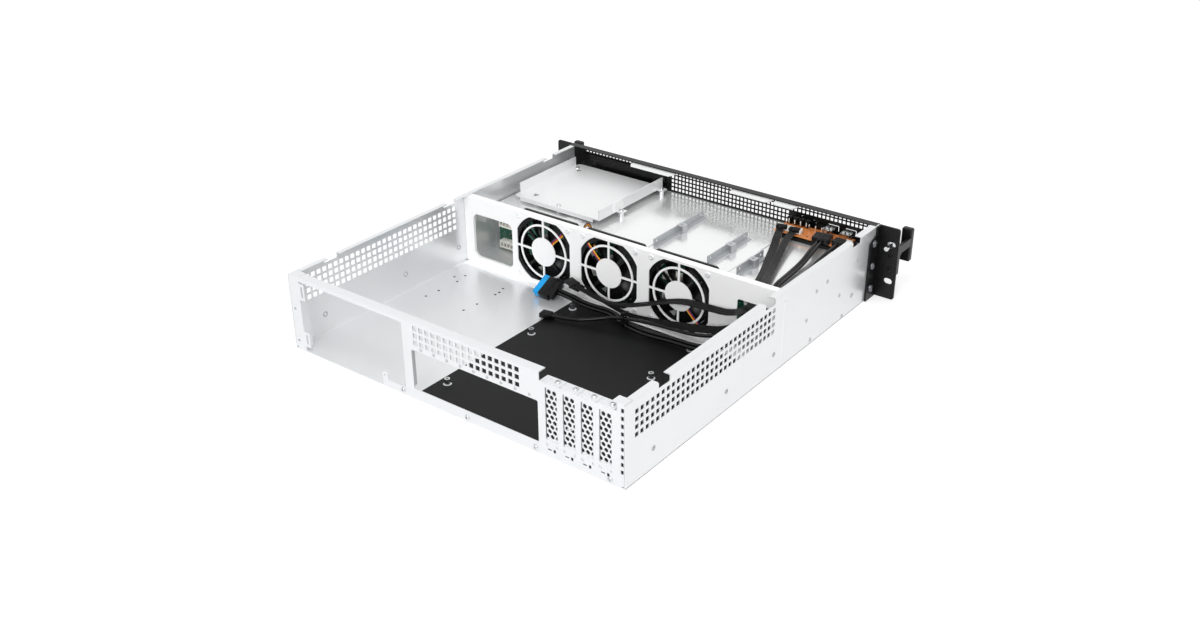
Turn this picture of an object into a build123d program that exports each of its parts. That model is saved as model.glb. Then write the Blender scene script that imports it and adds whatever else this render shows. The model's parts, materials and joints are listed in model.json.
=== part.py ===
"""Empty two-unit rackmount server case, short depth, top cover off.

Millimetres. Every place is worked out with y = 0 at the front panel's outer face, z = 0
under the floor and x = 0 on the centre line, then moved so that the origin is under
the middle of the case. The front faces -Y and the motherboard side is the rear half.
"""
from build123d import *
import os
from math import pi, radians, sin, tan

# Overall sizes of the case
RACK_UNIT = 44.45
RACK_CLEARANCE = 1.9
RACK_WIDTH = 482.6
BODY_WIDTH = 432.0
DEPTH = 478.0
SHEET = 1.0
BEND = 0.8
FIT = 0.3
RUNNING_GAP = 0.06

# Front panel and rack ears
PANEL_SHEET = 1.2
PANEL_FLANGE = 8.0
PANEL_EDGE_GAP = 0.6
EAR_SHEET = 2.0
EAR_LEG = 24.0
EAR_NECK = 10.0
EAR_STEP = (10.0, 6.0)
EAR_CORNER = 3.0
RACK_HOLE_INSET = 8.75
RACK_SLOT = (10.0, 7.0)
RIVET_Y = 14.0
RIVET_Z = (13.5, 41.0, 68.0)
RIVET_HEAD_R = 3.6
RIVET_HEAD_H = 1.5

# Square holes of the vents
VENT_PITCH = 8.0
VENT_ROW_PITCH = 7.95
VENT_HOLE = 5.4
SIDE_VENT_COLUMNS = 30
SIDE_VENT_ROWS = 4
SIDE_VENT_DROP = 13.2
SIDE_VENT_REAR = 16.4

# Side walls and floor
TOP_RETURN = 7.5
NOTCH_WIDTH = 18.0
NOTCH_HEIGHT = 6.8
NOTCH_FRONT_Y = (55.0, 237.0)
NOTCH_REAR = 58.0
SIDE_HOLES = ((225.0, 22.5), (314.0, 22.0), (435.5, 22.0), (57.0, 21.0))
BEAD_Y = 208.0
BEAD_WIDTH = 4.4
BEAD_RISE = 0.7
BEAD_END = 11.0
FLOOR_HOLE_R = 1.5
FLOOR_HOLES = ((196, 255), (188, 245), (185, 262), (186, 292), (188, 311),
               (130, 244), (127, 254), (127, 261), (128, 291), (130, 311))

# Drive bays
BAY_COLUMNS = 4
BAY_ROWS = 2
BAY_ROW_PITCH = 27.3
BAY_FLOOR_LIFT = 1.0
CAGE_SIDE_GAP = 3.0
CAGE_SHEET = 1.0
CAGE_LENGTH = 163.0
CAGE_LEDGE = 5.0
LEDGE_SHEET = 0.7
CAGE_RIB = (18.0, 0.8)
CAGE_BRACKETS = ((-12.0, 45.0, 147.0), (-85.0, 66.0, 149.0), (-125.0, 98.0, 153.0))
BRACKET_HEIGHT = 9.0
BRACKET_FOOT = 6.0
BRACKET_TAB = 9.0
TRAY_CLEARANCE = 0.7
TRAY_HEIGHT = 25.0
TRAY_LENGTH = 150.0
TRAY_WALL = 1.4
TRAY_SIDE_HEIGHT = 19.0
TRAY_OPEN_EDGE = 14.0
BEZEL_DEPTH = 7.0
BEZEL_PROUD = 1.5
BEZEL_SLOTS = 4
BEZEL_SLOT = 2.8
LEVER_THICK = 2.6
LEVER_LENGTH = 72.0
LEVER_LUG = 3.0
LEVER_PIN_R = 1.0
LEVER_PIN_INSET = 4.0

# Backplane
BACKPLANE_SPACE = 5.0
BOARD_THICK = 1.6
BACKPLANE_GAP = 2.2
BACKPLANE_EDGE = 1.5
POWER_SOCKET = (22.6, 9.0, 8.6)
POWER_SOCKET_INSET = (46.0, 46.0, 60.0, 75.0)
POWER_SOCKET_LIFT = 2.5
SOCKET_WALL = 2.2
SOCKET_PIN_PITCH = 5.08

# Fans and fan wall
FAN_WALL_Y = 211.6
FAN_WALL_FLANGE = 8.8
FAN_WALL_FOOT = 9.0
FAN_LIFT = 3.6
FAN_HEADROOM = 2.4
FAN_DEPTH = 15.0
FAN_GAP = 12.6
FAN_OFFSET = 2.6
FAN_CORNER_HOLES = 4.25
FAN_DUCT_WALL = 2.0
FAN_FLANGE = 3.0
FAN_STRUT = 3.0
FAN_TIP_GAP = 0.9
FAN_BLADES = 7
FAN_BLADE_THICK = 1.3
FAN_BLADE_PITCH = 42.0
FAN_HUB_R = 16.6
FAN_CUP_WALL = 1.6
FAN_AXLE_R = 2.0
FAN_BEARING_R = 5.0
FAN_BEARING_LENGTH = 8.0
FAN_SCREW_HOLE_R = 2.3
GUARD_CIRCLE_R = 43.0
GUARD_HALF = 38.4
GUARD_RING_R = 33.4
GUARD_BAR = 2.4
GUARD_DISC_R = 17.3
LEFT_OPENING = (141.5, 201.5, 10.5, 66.0)
LEFT_OPENING_R = 8.0
LEFT_OPENING_RIM = (1.0, 2.5)
CABLE_OPENING = (-205.0, -162.5, 8.0, 64.0)
CABLE_OPENING_R = 3.0

# Motherboard area
INSULATION = 0.4
INSULATION_BORDER = (3.0, 1.5, 12.5)
INSULATION_LEFT = 11.0
BOARD_LEFT_X = 34.2
BOARD_REAR = 38.8
BOARD_GRID_X = (0.0, 157.5)
BOARD_GRID_Y = (0.0, 131.5, 203.0)
STANDOFF_HEIGHT = 6.5
STANDOFF_FLATS = 5.5
STANDOFF_THREAD_R = 1.25
STANDOFF_CLEAR_R = 4.5

# Rear panel
IO_OPENING = (158.75, 44.45)
IO_INSET = 7.0
IO_FLOOR_Z = 11.8
IO_LIP = (1.2, 3.4)
PSU_STRUT = 11.4
PSU_RIGHT_SILL = 27.0
PSU_FLANGE = 14.6
PSU_TABS = ((6.6, 17.0), (61.0, 19.0))
PSU_LUG = (25.0, 8.0, 17.0)
SILL_HEIGHT = 8.6
RAIL_HEIGHT = 4.8
RAIL_END_X = -119.2
REAR_FLANGE = 9.0
REAR_VENT_COLUMNS = 17
REAR_VENT_ROWS = 3
REAR_VENT_DROP = 6.4
REAR_VENT_INSET = 6.6
REAR_SCREW_X = (57.0, -28.4, -113.4, -199.0)
REAR_SCREW_Z = 5.0
SLOT_COUNT = 4
SLOT_PITCH = 20.32
SLOT_FROM_BOARD = 167.2
SLOT_OPENING = (13.6, 55.0)
SLOT_OPENING_Z = 18.5
SLOT_COVER_WIDTH = 18.6
SLOT_COVER_SHEET = 0.8
SLOT_COVER_FOOT = 8.0
SLOT_HEX_R = 2.55
SLOT_HEX_ROWS = 10
SLOT_HEX_PITCH = 6.06
LEDGE_DROP = 9.0
LEDGE_DEPTH = 12.0
SLOT_SCREW = (3.0, 6.0)
EDGE_VENT = (3.2, 4.6)
EDGE_VENT_COUNT = 9
CORNER_TAB = (14.0, 10.5)

# Tray for the slim drive at the front
OPTICAL_LEFT_X = 70.5
OPTICAL_WIDTH = 130.0
OPTICAL_FRONT_Y = 10.0
OPTICAL_LENGTH = 129.0
OPTICAL_RISE = 7.4
OPTICAL_WALL = 12.0
OPTICAL_TAB = 5.0
OPTICAL_POST_R = 3.0
OPTICAL_CORNER = 6.0
OPTICAL_CUT = 9.0
OPTICAL_CUT_REAR = (22.0, 16.0)
OPTICAL_CUT_FRONT = (14.0, 18.0)
OPTICAL_WALL_CUT = (8.0, 12.0)
OPTICAL_LIP = (10.0, 4.0)
OPTICAL_TAB_OUT = 4.0
OPTICAL_POST_IN = (8.0, 38.0, 6.0, 14.0)
OPTICAL_BEZEL = 14.2
OPTICAL_BEZEL_DROP = 1.6

# Perforated fields of the front panel: left x, columns and rows of holes, down from one top
# line. Each cell of the solid spans several of the real holes in a row
MESH_PITCH = 5.2
MESH_HOLE = 3.8
MESH_DROP = 2.3
MESH_CELL_COLUMNS = 2
MESH_FIELDS = ((196.6, 16, 1), (64.2, 32, 5), (-102.2, 20, 2))
CATCH_SPANS = ((52.0, 116.0), (-84.0, -30.0), (-118.0, -88.0))

# Front sockets and buttons
IO_BOARD = (88.0, 29.0)
IO_BOARD_X = -104.0
IO_BOARD_Y = 9.0
IO_BOARD_RISE = 4.8
IO_SOCKET_X = (-160.0, -182.0)
IO_SOCKET = (14.0, 7.0)
IO_SOCKET_LENGTH = 16.0
BUTTON_RISE = 4.8
BUTTON_TRAVEL = 1.5
BUTTON_CAP = 4.0
BUTTON_PROUD = 1.2
BUTTON_STEM_R = 1.2
POWER_BUTTON = (-122.0, 4.0)
RESET_BUTTON = (-136.0, 1.8)
SWITCH_Y = 7.2
LAMP_X = (-148.5, -145.3, -142.1)
HEADERS = ((-112.0, 10.0), (-126.0, 12.0), (-141.0, 9.0))
HEADER_Y = 15.0
HEADER_HEIGHT = 8.0

# Handles and captive screws
HANDLE_REACH = 38.0
HANDLE_WIDTH = 12.6
HANDLE_TOP_Z = 75.0
HANDLE_LOW_Z = 35.0
HANDLE_GRIP = 8.0
HANDLE_ARM = 10.0
HANDLE_ARM_Z = 55.0
HANDLE_PLATE = 3.4
HANDLE_FOOT = 4.0
HANDLE_SCREW_Z = (37.0, 52.0)
HANDLE_FOOT_MARGIN = 6.0
THUMB_KNOB_R = 4.8
THUMB_KNOB = 11.0
THUMB_FLUTES = 12
THUMB_NECK_R = 1.9
THUMB_THREAD_R = 2.6
THUMB_THREAD = 4.5
THUMB_REACH = 15.0

# Fasteners
SCREW_HEAD_R = 2.9
SCREW_HEAD_H = 1.4
SCREW_SHANK_R = 1.45
SCREW_HOLE_R = 1.6
THREAD_LENGTH = 4.0
FAN_SCREW = (3.4, 5.0)

# Cords: diameters, and routes from the front sockets over the cage and through the wall
USB_CABLE = 6.0
AUDIO_CABLE = 4.0
LEAD_BUNDLE = 4.0
FAN_LEAD = 2.4
USB_ROUTE = (
    (-166.0, 45.0, 67.8), (-169.5, 66.0, 67.8), (-173.5, 95.0, 63.2), (-176.0, 130.0, 62.6),
    (-179.5, 166.0, 64.0), (-184.5, 190.0, 52.0), (-185.0, 213.0, 37.0), (-171.0, 234.0, 23.0),
    (-143.0, 244.0, 12.0), (-104.0, 240.0, 8.6), (-68.0, 243.0, 6.6), (-36.0, 238.0, 7.4),
    (-14.0, 228.0, 9.0), (20.0, 231.0, 8.0), (42.0, 228.5, 11.0), (60.0, 228.5, 11.6),
)
AUDIO_ROUTE = (
    (-185.0, 42.0, 67.6), (-186.0, 62.0, 67.6), (-185.0, 92.0, 62.0), (-187.0, 128.0, 61.0),
    (-190.0, 166.0, 63.0), (-195.0, 190.0, 55.0), (-197.0, 211.0, 48.0), (-186.0, 229.0, 40.0),
    (-160.0, 233.0, 29.0), (-128.0, 232.0, 18.0), (-94.0, 231.0, 15.5), (-60.0, 234.0, 14.6),
    (-27.0, 242.0, 13.0), (-6.0, 254.0, 8.0), (15.0, 265.0, 5.4), (37.0, 268.5, 5.2),
)
LEADS_ROUTE_1 = (
    (-112.0, 37.0, 67.6), (-117.0, 52.0, 67.6), (-126.0, 76.0, 62.4), (-136.0, 104.0, 61.0),
    (-149.0, 136.0, 61.0), (-159.0, 166.0, 62.6), (-167.0, 189.0, 51.0), (-171.0, 211.0, 40.0),
    (-160.0, 226.0, 32.0), (-130.0, 224.0, 23.0), (-96.0, 221.0, 15.5), (-62.0, 219.0, 9.0),
    (-28.0, 219.5, 6.0), (6.0, 220.0, 15.0), (34.0, 220.0, 19.0),
)
LEADS_ROUTE_2 = (
    (-128.0, 36.0, 67.6), (-131.5, 56.0, 67.6), (-139.0, 80.0, 66.0), (-149.0, 112.0, 63.0),
    (-159.0, 142.0, 62.6), (-168.0, 169.0, 65.0), (-173.0, 191.0, 58.5), (-175.0, 212.0, 54.5),
    (-160.0, 221.0, 50.0), (-134.0, 218.5, 47.0), (-104.0, 217.0, 45.0), (-78.0, 217.0, 37.0),
    (-52.0, 217.0, 25.0), (-22.0, 225.0, 17.5), (8.0, 231.0, 20.0), (36.0, 227.0, 26.0),
)
FAN_LEAD_ROUTE = (
    (58.6, 203.1, 62.0), (50.0, 203.0, 64.0), (47.5, 201.0, 76.0), (48.5, 194.0, 84.0),
    (50.5, 184.0, 82.0), (49.2, 179.5, 70.0), (49.6, 178.5, 57.0), (48.8, 174.0, 47.5),
    (49.0, 168.4, 47.5),
)
USB_PLUG = (27.0, 9.0, 28.0)
USB_PLUG_TILT = -27.0
USB_FRONT_PLUG = (20.0, 7.0, 18.0)
SMALL_PLUG = (12.6, 6.5, 14.0)
LEAD_PLUG = (12.7, 2.6, 14.0)
FAN_PLUG = (10.2, 5.6, 11.5)

# Worked out from the sizes above
HEIGHT = 2 * RACK_UNIT - RACK_CLEARANCE
HALF = BODY_WIDTH / 2
WALL_IN = HALF - SHEET
REAR_IN = DEPTH - SHEET
EDGE_IN = WALL_IN - FIT
TOP_IN = HEIGHT - SHEET - FIT
Y_MIDDLE = (DEPTH + SCREW_HEAD_H - HANDLE_REACH) / 2
UPPER_SLOT_Z = (HEIGHT + RACK_UNIT) / 2
LOWER_SLOT_Z = (HEIGHT - RACK_UNIT) / 2
FAN_SIZE = HEIGHT - SHEET - FAN_LIFT - FAN_HEADROOM
FAN_BORE_R = FAN_SIZE / 2 - FAN_DUCT_WALL
FAN_CENTRE_Z = SHEET + FAN_LIFT + FAN_SIZE / 2
FAN_X = [FAN_OFFSET + (FAN_SIZE + FAN_GAP) * i for i in (1, 0, -1)]
FAN_REAR_Y = FAN_WALL_Y - SHEET
FAN_FRONT_Y = FAN_REAR_Y - FAN_DEPTH
CAGE_FRONT_Y = PANEL_SHEET + FIT
BAY_PITCH = 2 * (WALL_IN - CAGE_SIDE_GAP) / BAY_COLUMNS
BAY_HALF = BAY_PITCH / 2 - CAGE_SHEET / 2 - TRAY_CLEARANCE
BAY_X = [BAY_PITCH * (i - (BAY_COLUMNS - 1) / 2) for i in range(BAY_COLUMNS)]
BAY_Z = [SHEET + BAY_FLOOR_LIFT + BAY_ROW_PITCH * i for i in range(BAY_ROWS)]
DIVIDER_X = [BAY_PITCH * (i - BAY_COLUMNS / 2) for i in range(BAY_COLUMNS + 1)]
CAGE_TOP_Z = BAY_Z[-1] + BAY_ROW_PITCH + CAGE_SHEET
BACKPLANE_Y = TRAY_LENGTH + BACKPLANE_SPACE
SLOT_X = [BOARD_LEFT_X - SLOT_FROM_BOARD - SLOT_PITCH * i for i in range(SLOT_COUNT)]
SLOTS_END_X = SLOT_X[-1] - SLOT_PITCH / 2 - 2.5
IO_LEFT_X = BOARD_LEFT_X + IO_INSET
IO_RIGHT_X = IO_LEFT_X - IO_OPENING[0]
IO_TOP_Z = IO_FLOOR_Z + IO_OPENING[1]
PSU_LEFT_X = WALL_IN - PSU_FLANGE
PSU_RIGHT_X = IO_LEFT_X + PSU_STRUT
LEDGE_Z = HEIGHT - LEDGE_DROP
OPTICAL_FLOOR_Z = CAGE_TOP_Z + OPTICAL_RISE
OPTICAL_RIGHT_X = OPTICAL_LEFT_X + OPTICAL_WIDTH
OPTICAL_REAR_Y = OPTICAL_FRONT_Y + OPTICAL_LENGTH
BEZEL_LOW_Z = OPTICAL_FLOOR_Z - OPTICAL_BEZEL_DROP
IO_BOARD_Z = CAGE_TOP_Z + IO_BOARD_RISE
IO_BOARD_TOP = IO_BOARD_Z + BOARD_THICK
BUTTON_Z = IO_BOARD_TOP + BUTTON_RISE
HANDLE_HOLE_X = RACK_WIDTH / 2 - RACK_HOLE_INSET

parts = {}


def block(x0, x1, y0, y1, z0, z1):
    """A box between two corners, whichever way round they are given."""
    return Pos((x0 + x1) / 2, (y0 + y1) / 2, (z0 + z1) / 2) * Box(
        abs(x1 - x0), abs(y1 - y0), abs(z1 - z0)
    )


def along_y(sketch, y0, y1):
    """Extrude a sketch drawn as (x, z) from y0 to y1."""
    face = Plane(origin=(0, y1, 0), x_dir=(1, 0, 0), z_dir=(0, -1, 0)) * sketch
    return extrude(face, amount=y1 - y0)


def along_x(sketch, x0, x1):
    """Extrude a sketch drawn as (y, z) from x0 to x1."""
    face = Plane(origin=(x0, 0, 0), x_dir=(0, 1, 0), z_dir=(1, 0, 0)) * sketch
    return extrude(face, amount=x1 - x0)


def rect(a0, a1, b0, b1, corner=0.0):
    """A rectangle sketch between two corners, with rounded corners if wanted."""
    width, height = abs(a1 - a0), abs(b1 - b0)
    shape = RectangleRounded(width, height, corner) if corner else Rectangle(width, height)
    return Pos((a0 + a1) / 2, (b0 + b1) / 2) * shape


def grown(corners, extra, corner):
    """The same rectangle, larger by extra on every side."""
    a0, a1, b0, b1 = corners
    return rect(a0 - extra, a1 + extra, b0 - extra, b1 + extra, corner)


def field(left, top, pitch_x, pitch_z, columns, rows, hole):
    """A field of like holes, from the centre of its first hole at the left and top."""
    middle = Pos(left + pitch_x * (columns - 1) / 2, top - pitch_z * (rows - 1) / 2)
    return [spot * hole for spot in middle * GridLocations(pitch_x, pitch_z, columns, rows)]


def rod(x, y, z, radius, length, axis="y"):
    """A round bar that starts at a point and runs along an axis, backwards if negative."""
    turn = {"y": Rot(-90, 0, 0), "x": Rot(0, 90, 0), "z": Rot(0, 0, 0)}[axis]
    align = (Align.CENTER, Align.CENTER, Align.MIN if length > 0 else Align.MAX)
    return Pos(x, y, z) * turn * Cylinder(radius, abs(length), align=align)


def solids_of(*shapes):
    """One compound of separate solids, for identical pieces that share a node."""
    return Compound(children=[s for shape in shapes for s in shape.solids()])


def on_side(shape, side):
    """The shape as drawn for +x, or its mirror image for side -1."""
    return shape if side > 0 else mirror(shape, about=Plane.YZ)


def screw(x, y, z, axis="y", way=1, shank=THREAD_LENGTH, head_r=SCREW_HEAD_R):
    """A pan head whose seat is at the point, with its shank running into the work."""
    return rod(x, y, z, head_r, way * SCREW_HEAD_H, axis) + rod(
        x, y, z, SCREW_SHANK_R, -way * shank, axis)


# Chassis pan: floor, two side walls and their top returns, folded from one sheet
def chassis_pan():
    outer = rect(-HALF, HALF, 0, HEIGHT, SHEET + BEND)
    inner = rect(-WALL_IN, WALL_IN, SHEET, HEIGHT - SHEET, BEND)
    mouth = rect(-HALF + TOP_RETURN, HALF - TOP_RETURN, HEIGHT / 2, HEIGHT + SHEET)
    pan = along_y(outer - inner - mouth, PANEL_SHEET, DEPTH)
    top = HEIGHT - SHEET - BEND
    rear_end = REAR_IN - CORNER_TAB[1] - FIT
    front_end = PANEL_SHEET + PANEL_FLANGE + SHEET
    cuts = [
        block(-WALL_IN, WALL_IN, rear_end, DEPTH + 1, top, HEIGHT + 1),
        block(-WALL_IN, WALL_IN, 0, front_end, top, HEIGHT + 1),
    ]
    for y in (*NOTCH_FRONT_Y, DEPTH - NOTCH_REAR):
        cuts.append(block(-HALF - 1, HALF + 1, y - NOTCH_WIDTH / 2, y + NOTCH_WIDTH / 2,
                          HEIGHT - NOTCH_HEIGHT, HEIGHT + 1))
    pan -= cuts
    first = DEPTH - SIDE_VENT_REAR - VENT_PITCH * (SIDE_VENT_COLUMNS - 1)
    holes = field(first, HEIGHT - SIDE_VENT_DROP, VENT_PITCH, VENT_ROW_PITCH,
                  SIDE_VENT_COLUMNS, SIDE_VENT_ROWS, Rectangle(VENT_HOLE, VENT_HOLE))
    holes += [Pos(y, z) * Circle(SCREW_HOLE_R) for y, z in SIDE_HOLES]
    holes += [Pos(RIVET_Y, z) * Circle(SCREW_HOLE_R) for z in RIVET_Z]
    pan -= along_x(Sketch() + holes, -HALF - 1, HALF + 1)
    pan -= [rod(x, y, -1, FLOOR_HOLE_R, SHEET + 2, "z") for x, y in FLOOR_HOLES]
    sunk = BEAD_WIDTH - BEAD_RISE
    bead = rod(HALF - sunk, BEAD_Y, BEAD_END, BEAD_WIDTH, HEIGHT - 2 * BEAD_END, "z")
    bead &= block(HALF, HALF + BEAD_WIDTH, 0, DEPTH, 0, HEIGHT)
    return pan + bead + on_side(bead, -1)


# Rear panel: one folded sheet with the supply, socket and expansion openings
def rear_panel():
    rail_z = HEIGHT - RAIL_HEIGHT
    corner = SHEET + 2 * BEND
    sill_x = PSU_RIGHT_X + PSU_RIGHT_SILL
    face = rect(-EDGE_IN, EDGE_IN, SHEET, HEIGHT)
    cut = [
        rect(-EDGE_IN - 1, -EDGE_IN + corner, 0, corner),
        rect(EDGE_IN - corner, EDGE_IN + 1, 0, corner),
        rect(PSU_RIGHT_X, PSU_LEFT_X, SILL_HEIGHT, rail_z, 1.0),
        rect(sill_x, PSU_LEFT_X, 0, rail_z - 1),
        rect(IO_RIGHT_X, IO_LEFT_X, IO_FLOOR_Z, IO_TOP_Z, 2.0),
        rect(SLOTS_END_X, RAIL_END_X, LEDGE_Z, HEIGHT + 1),
    ]
    vent_left = IO_LEFT_X - REAR_VENT_INSET - VENT_PITCH * (REAR_VENT_COLUMNS - 1)
    cut += field(vent_left, HEIGHT - REAR_VENT_DROP, VENT_PITCH, VENT_ROW_PITCH,
                 REAR_VENT_COLUMNS, REAR_VENT_ROWS, Rectangle(VENT_HOLE, VENT_HOLE))
    edge_x = (SLOTS_END_X - EDGE_IN) / 2 - EDGE_VENT[0] / 2
    cut += field(edge_x, HEIGHT - REAR_VENT_DROP, VENT_PITCH, VENT_ROW_PITCH,
                 1, EDGE_VENT_COUNT, Rectangle(*EDGE_VENT))
    for x in SLOT_X:
        left = x + SLOT_OPENING[0] / 2
        cut.append(rect(left - SLOT_OPENING[0], left, SLOT_OPENING_Z, SLOT_OPENING_Z + SLOT_OPENING[1]))
        cut.append(rect(left - 3, left, 12, 15))
        cut.append(rect(left - 14, left - 12, 12, 15))
    cut += [Pos(EDGE_IN - 4.8, z) * Circle(SCREW_HOLE_R) for z in (10.5, 48.0)]
    cut += [Pos(x, REAR_SCREW_Z) * Circle(SCREW_HOLE_R) for x in REAR_SCREW_X]
    panel = along_y(face - cut, REAR_IN, DEPTH)
    inward = REAR_IN - REAR_FLANGE
    tab_in = REAR_IN - CORNER_TAB[1]
    panel += [
        block(RAIL_END_X, PSU_LEFT_X, inward, REAR_IN, HEIGHT - SHEET, HEIGHT),
        block(-EDGE_IN + corner, sill_x, inward, REAR_IN, SHEET, 2 * SHEET),
        block(-EDGE_IN, -EDGE_IN + SHEET, inward, REAR_IN, corner, LEDGE_Z - 2),
        block(EDGE_IN - SHEET, EDGE_IN, inward, REAR_IN, corner, LEDGE_Z - 2),
        block(PSU_LEFT_X, PSU_LEFT_X + SHEET, inward, REAR_IN, corner, LEDGE_Z - 2),
        block(SLOTS_END_X, RAIL_END_X - FIT, REAR_IN - LEDGE_DEPTH, REAR_IN, LEDGE_Z - SHEET, LEDGE_Z),
        block(-EDGE_IN, -EDGE_IN + CORNER_TAB[0], tab_in, REAR_IN, HEIGHT - SHEET, HEIGHT),
        block(EDGE_IN - CORNER_TAB[0], EDGE_IN, tab_in, REAR_IN, HEIGHT - SHEET, HEIGHT),
    ]
    for low, length in PSU_TABS:
        tab = block(PSU_LEFT_X - 8, PSU_LEFT_X, REAR_IN, DEPTH, low, low + length)
        panel += tab - block(PSU_LEFT_X - 5.4, PSU_LEFT_X - 2.6, REAR_IN - 1, DEPTH + 1,
                             low + 3, low + length - 3)
    lug_x = PSU_RIGHT_X + PSU_LUG[0]
    lug = along_y(rect(lug_x, lug_x + PSU_LUG[1], SHEET, PSU_LUG[2], 3.0), REAR_IN, DEPTH)
    panel += lug - rod(lug_x + PSU_LUG[1] / 2, REAR_IN - 1, PSU_LUG[2] - 4, SCREW_HOLE_R, SHEET + 2)
    lip, reach = IO_LIP
    for x in (IO_LEFT_X, IO_RIGHT_X - lip):
        panel += block(x, x + lip, REAR_IN - reach, REAR_IN, IO_FLOOR_Z + 3, IO_TOP_Z - 3)
    gap = SLOT_COVER_WIDTH / 2 + FIT
    seat = REAR_IN - SLOT_COVER_SHEET - FIT
    panel -= [block(x - gap, x + gap, seat, REAR_IN, LEDGE_Z - 2, LEDGE_Z + 1) for x in SLOT_X]
    panel -= [rod(x, y, LEDGE_Z - 3, SCREW_HOLE_R, 5, "z") for x, y in slot_screw_places()]
    for x in SLOT_X:
        guide_x = x - (SLOT_OPENING[0] + SLOT_PITCH) / 4
        guide = rod(guide_x, DEPTH - 0.7, SLOT_OPENING_Z, 1.4, SLOT_OPENING[1] - 4, "z")
        panel += guide & block(-HALF, HALF, DEPTH, DEPTH + 2, 0, HEIGHT)
    return panel


def slot_screw_places():
    """The x and y of the screw that holds each slot cover's tab."""
    return [(x - SLOT_SCREW[0], REAR_IN - SLOT_SCREW[1]) for x in SLOT_X]


# Expansion slot covers with rows of staggered six-sided holes
def slot_covers():
    covers = []
    half = SLOT_COVER_WIDTH / 2
    row_pitch = SLOT_HEX_PITCH * sin(radians(60))
    top = SLOT_OPENING_Z + (SLOT_OPENING[1] + row_pitch * (SLOT_HEX_ROWS - 1)) / 2
    for x, (screw_x, screw_y) in zip(SLOT_X, slot_screw_places()):
        face = rect(x - half, x + half, SLOT_OPENING_Z - SLOT_COVER_FOOT, LEDGE_Z)
        for columns, drop in ((2, 0), (3, 1)):
            face -= field(x - SLOT_HEX_PITCH * (columns - 1) / 2, top - row_pitch * drop,
                          SLOT_HEX_PITCH, 2 * row_pitch, columns, SLOT_HEX_ROWS // 2,
                          RegularPolygon(SLOT_HEX_R, 6, rotation=30))
        plate = along_y(face, REAR_IN - SLOT_COVER_SHEET, REAR_IN)
        tab = block(x - half, x + half, REAR_IN - LEDGE_DEPTH + 1, REAR_IN,
                    LEDGE_Z, LEDGE_Z + SLOT_COVER_SHEET)
        notch = block(x + 2, x + half + 1, screw_y - 2, screw_y + 2, LEDGE_Z - 1, LEDGE_Z + 2)
        covers.append(plate + tab - notch - rod(screw_x, screw_y, LEDGE_Z - 1, SCREW_HOLE_R, 4, "z"))
    return solids_of(*covers)


# Fan wall: one sheet with three stamped guards and two cable openings
def fan_wall():
    face = rect(-EDGE_IN, EDGE_IN, SHEET, TOP_IN)
    face -= rect(*LEFT_OPENING, LEFT_OPENING_R)
    face -= rect(*CABLE_OPENING, CABLE_OPENING_R)
    reach = 2 * GUARD_HALF + 2
    for x in FAN_X:
        centre = Pos(x, FAN_CENTRE_Z)
        guard = Circle(GUARD_RING_R) - Circle(GUARD_RING_R - GUARD_BAR) + Circle(GUARD_DISC_R)
        guard += Rectangle(reach, GUARD_BAR) + Rectangle(GUARD_BAR, reach)
        face -= centre * (Circle(GUARD_CIRCLE_R) & Rectangle(2 * GUARD_HALF, 2 * GUARD_HALF))
        face += centre * guard
        face -= [Pos(*spot) * Circle(FAN_SCREW_HOLE_R) for spot in fan_corners(x)]
    wall = along_y(face, FAN_REAR_Y, FAN_WALL_Y)
    wall += block(-EDGE_IN, EDGE_IN, FAN_WALL_Y - FAN_WALL_FLANGE, FAN_REAR_Y, TOP_IN - SHEET, TOP_IN)
    wall += block(-EDGE_IN, EDGE_IN, FAN_WALL_Y, FAN_WALL_Y + FAN_WALL_FOOT, SHEET, 2 * SHEET)
    width, depth = LEFT_OPENING_RIM
    rim = grown(LEFT_OPENING, width, LEFT_OPENING_R + width) - rect(*LEFT_OPENING, LEFT_OPENING_R)
    wall += along_y(rim, FAN_REAR_Y - depth, FAN_REAR_Y)
    corner = SHEET + 2 * BEND
    relief = block(EDGE_IN - corner, HALF, FAN_REAR_Y - 1, FAN_WALL_Y + FAN_WALL_FOOT + 1, 0, corner)
    return wall - relief - on_side(relief, -1)


def fan_corners(x):
    """The four screw places of the fan whose centre is at x."""
    half = FAN_SIZE / 2 - FAN_CORNER_HOLES
    return [(x + a * half, FAN_CENTRE_Z + b * half) for a in (-1, 1) for b in (-1, 1)]


# Fan housing: square end flanges, round duct, motor mount on four struts
def fan_housing(x):
    half = FAN_SIZE / 2
    centre = Pos(x, FAN_CENTRE_Z)
    size = rect(x - half, x + half, FAN_CENTRE_Z - half, FAN_CENTRE_Z + half, 4.0)
    bore = centre * Circle(FAN_BORE_R)
    duct = centre * Circle(FAN_BORE_R + 1.6) & size
    flange = size - bore - [Pos(*spot) * Circle(FAN_SCREW_HOLE_R) for spot in fan_corners(x)]
    mount = centre * Circle(FAN_HUB_R)
    for angle in (45, 135, 225, 315):
        strut = Pos(FAN_BORE_R / 2 + 1, 0) * Rectangle(FAN_BORE_R, FAN_STRUT)
        mount += centre * Rot(0, 0, angle) * strut
    body = along_y(duct - bore, FAN_FRONT_Y, FAN_REAR_Y)
    body += along_y(flange, FAN_FRONT_Y, FAN_FRONT_Y + FAN_FLANGE)
    body += along_y(flange, FAN_REAR_Y - FAN_FLANGE, FAN_REAR_Y)
    body += along_y(mount & (bore + duct), FAN_REAR_Y - 2, FAN_REAR_Y)
    bearing = centre * Circle(FAN_BEARING_R) - centre * Circle(FAN_AXLE_R + RUNNING_GAP)
    return body + along_y(bearing, FAN_REAR_Y - 2 - FAN_BEARING_LENGTH, FAN_REAR_Y - 2)


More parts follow.
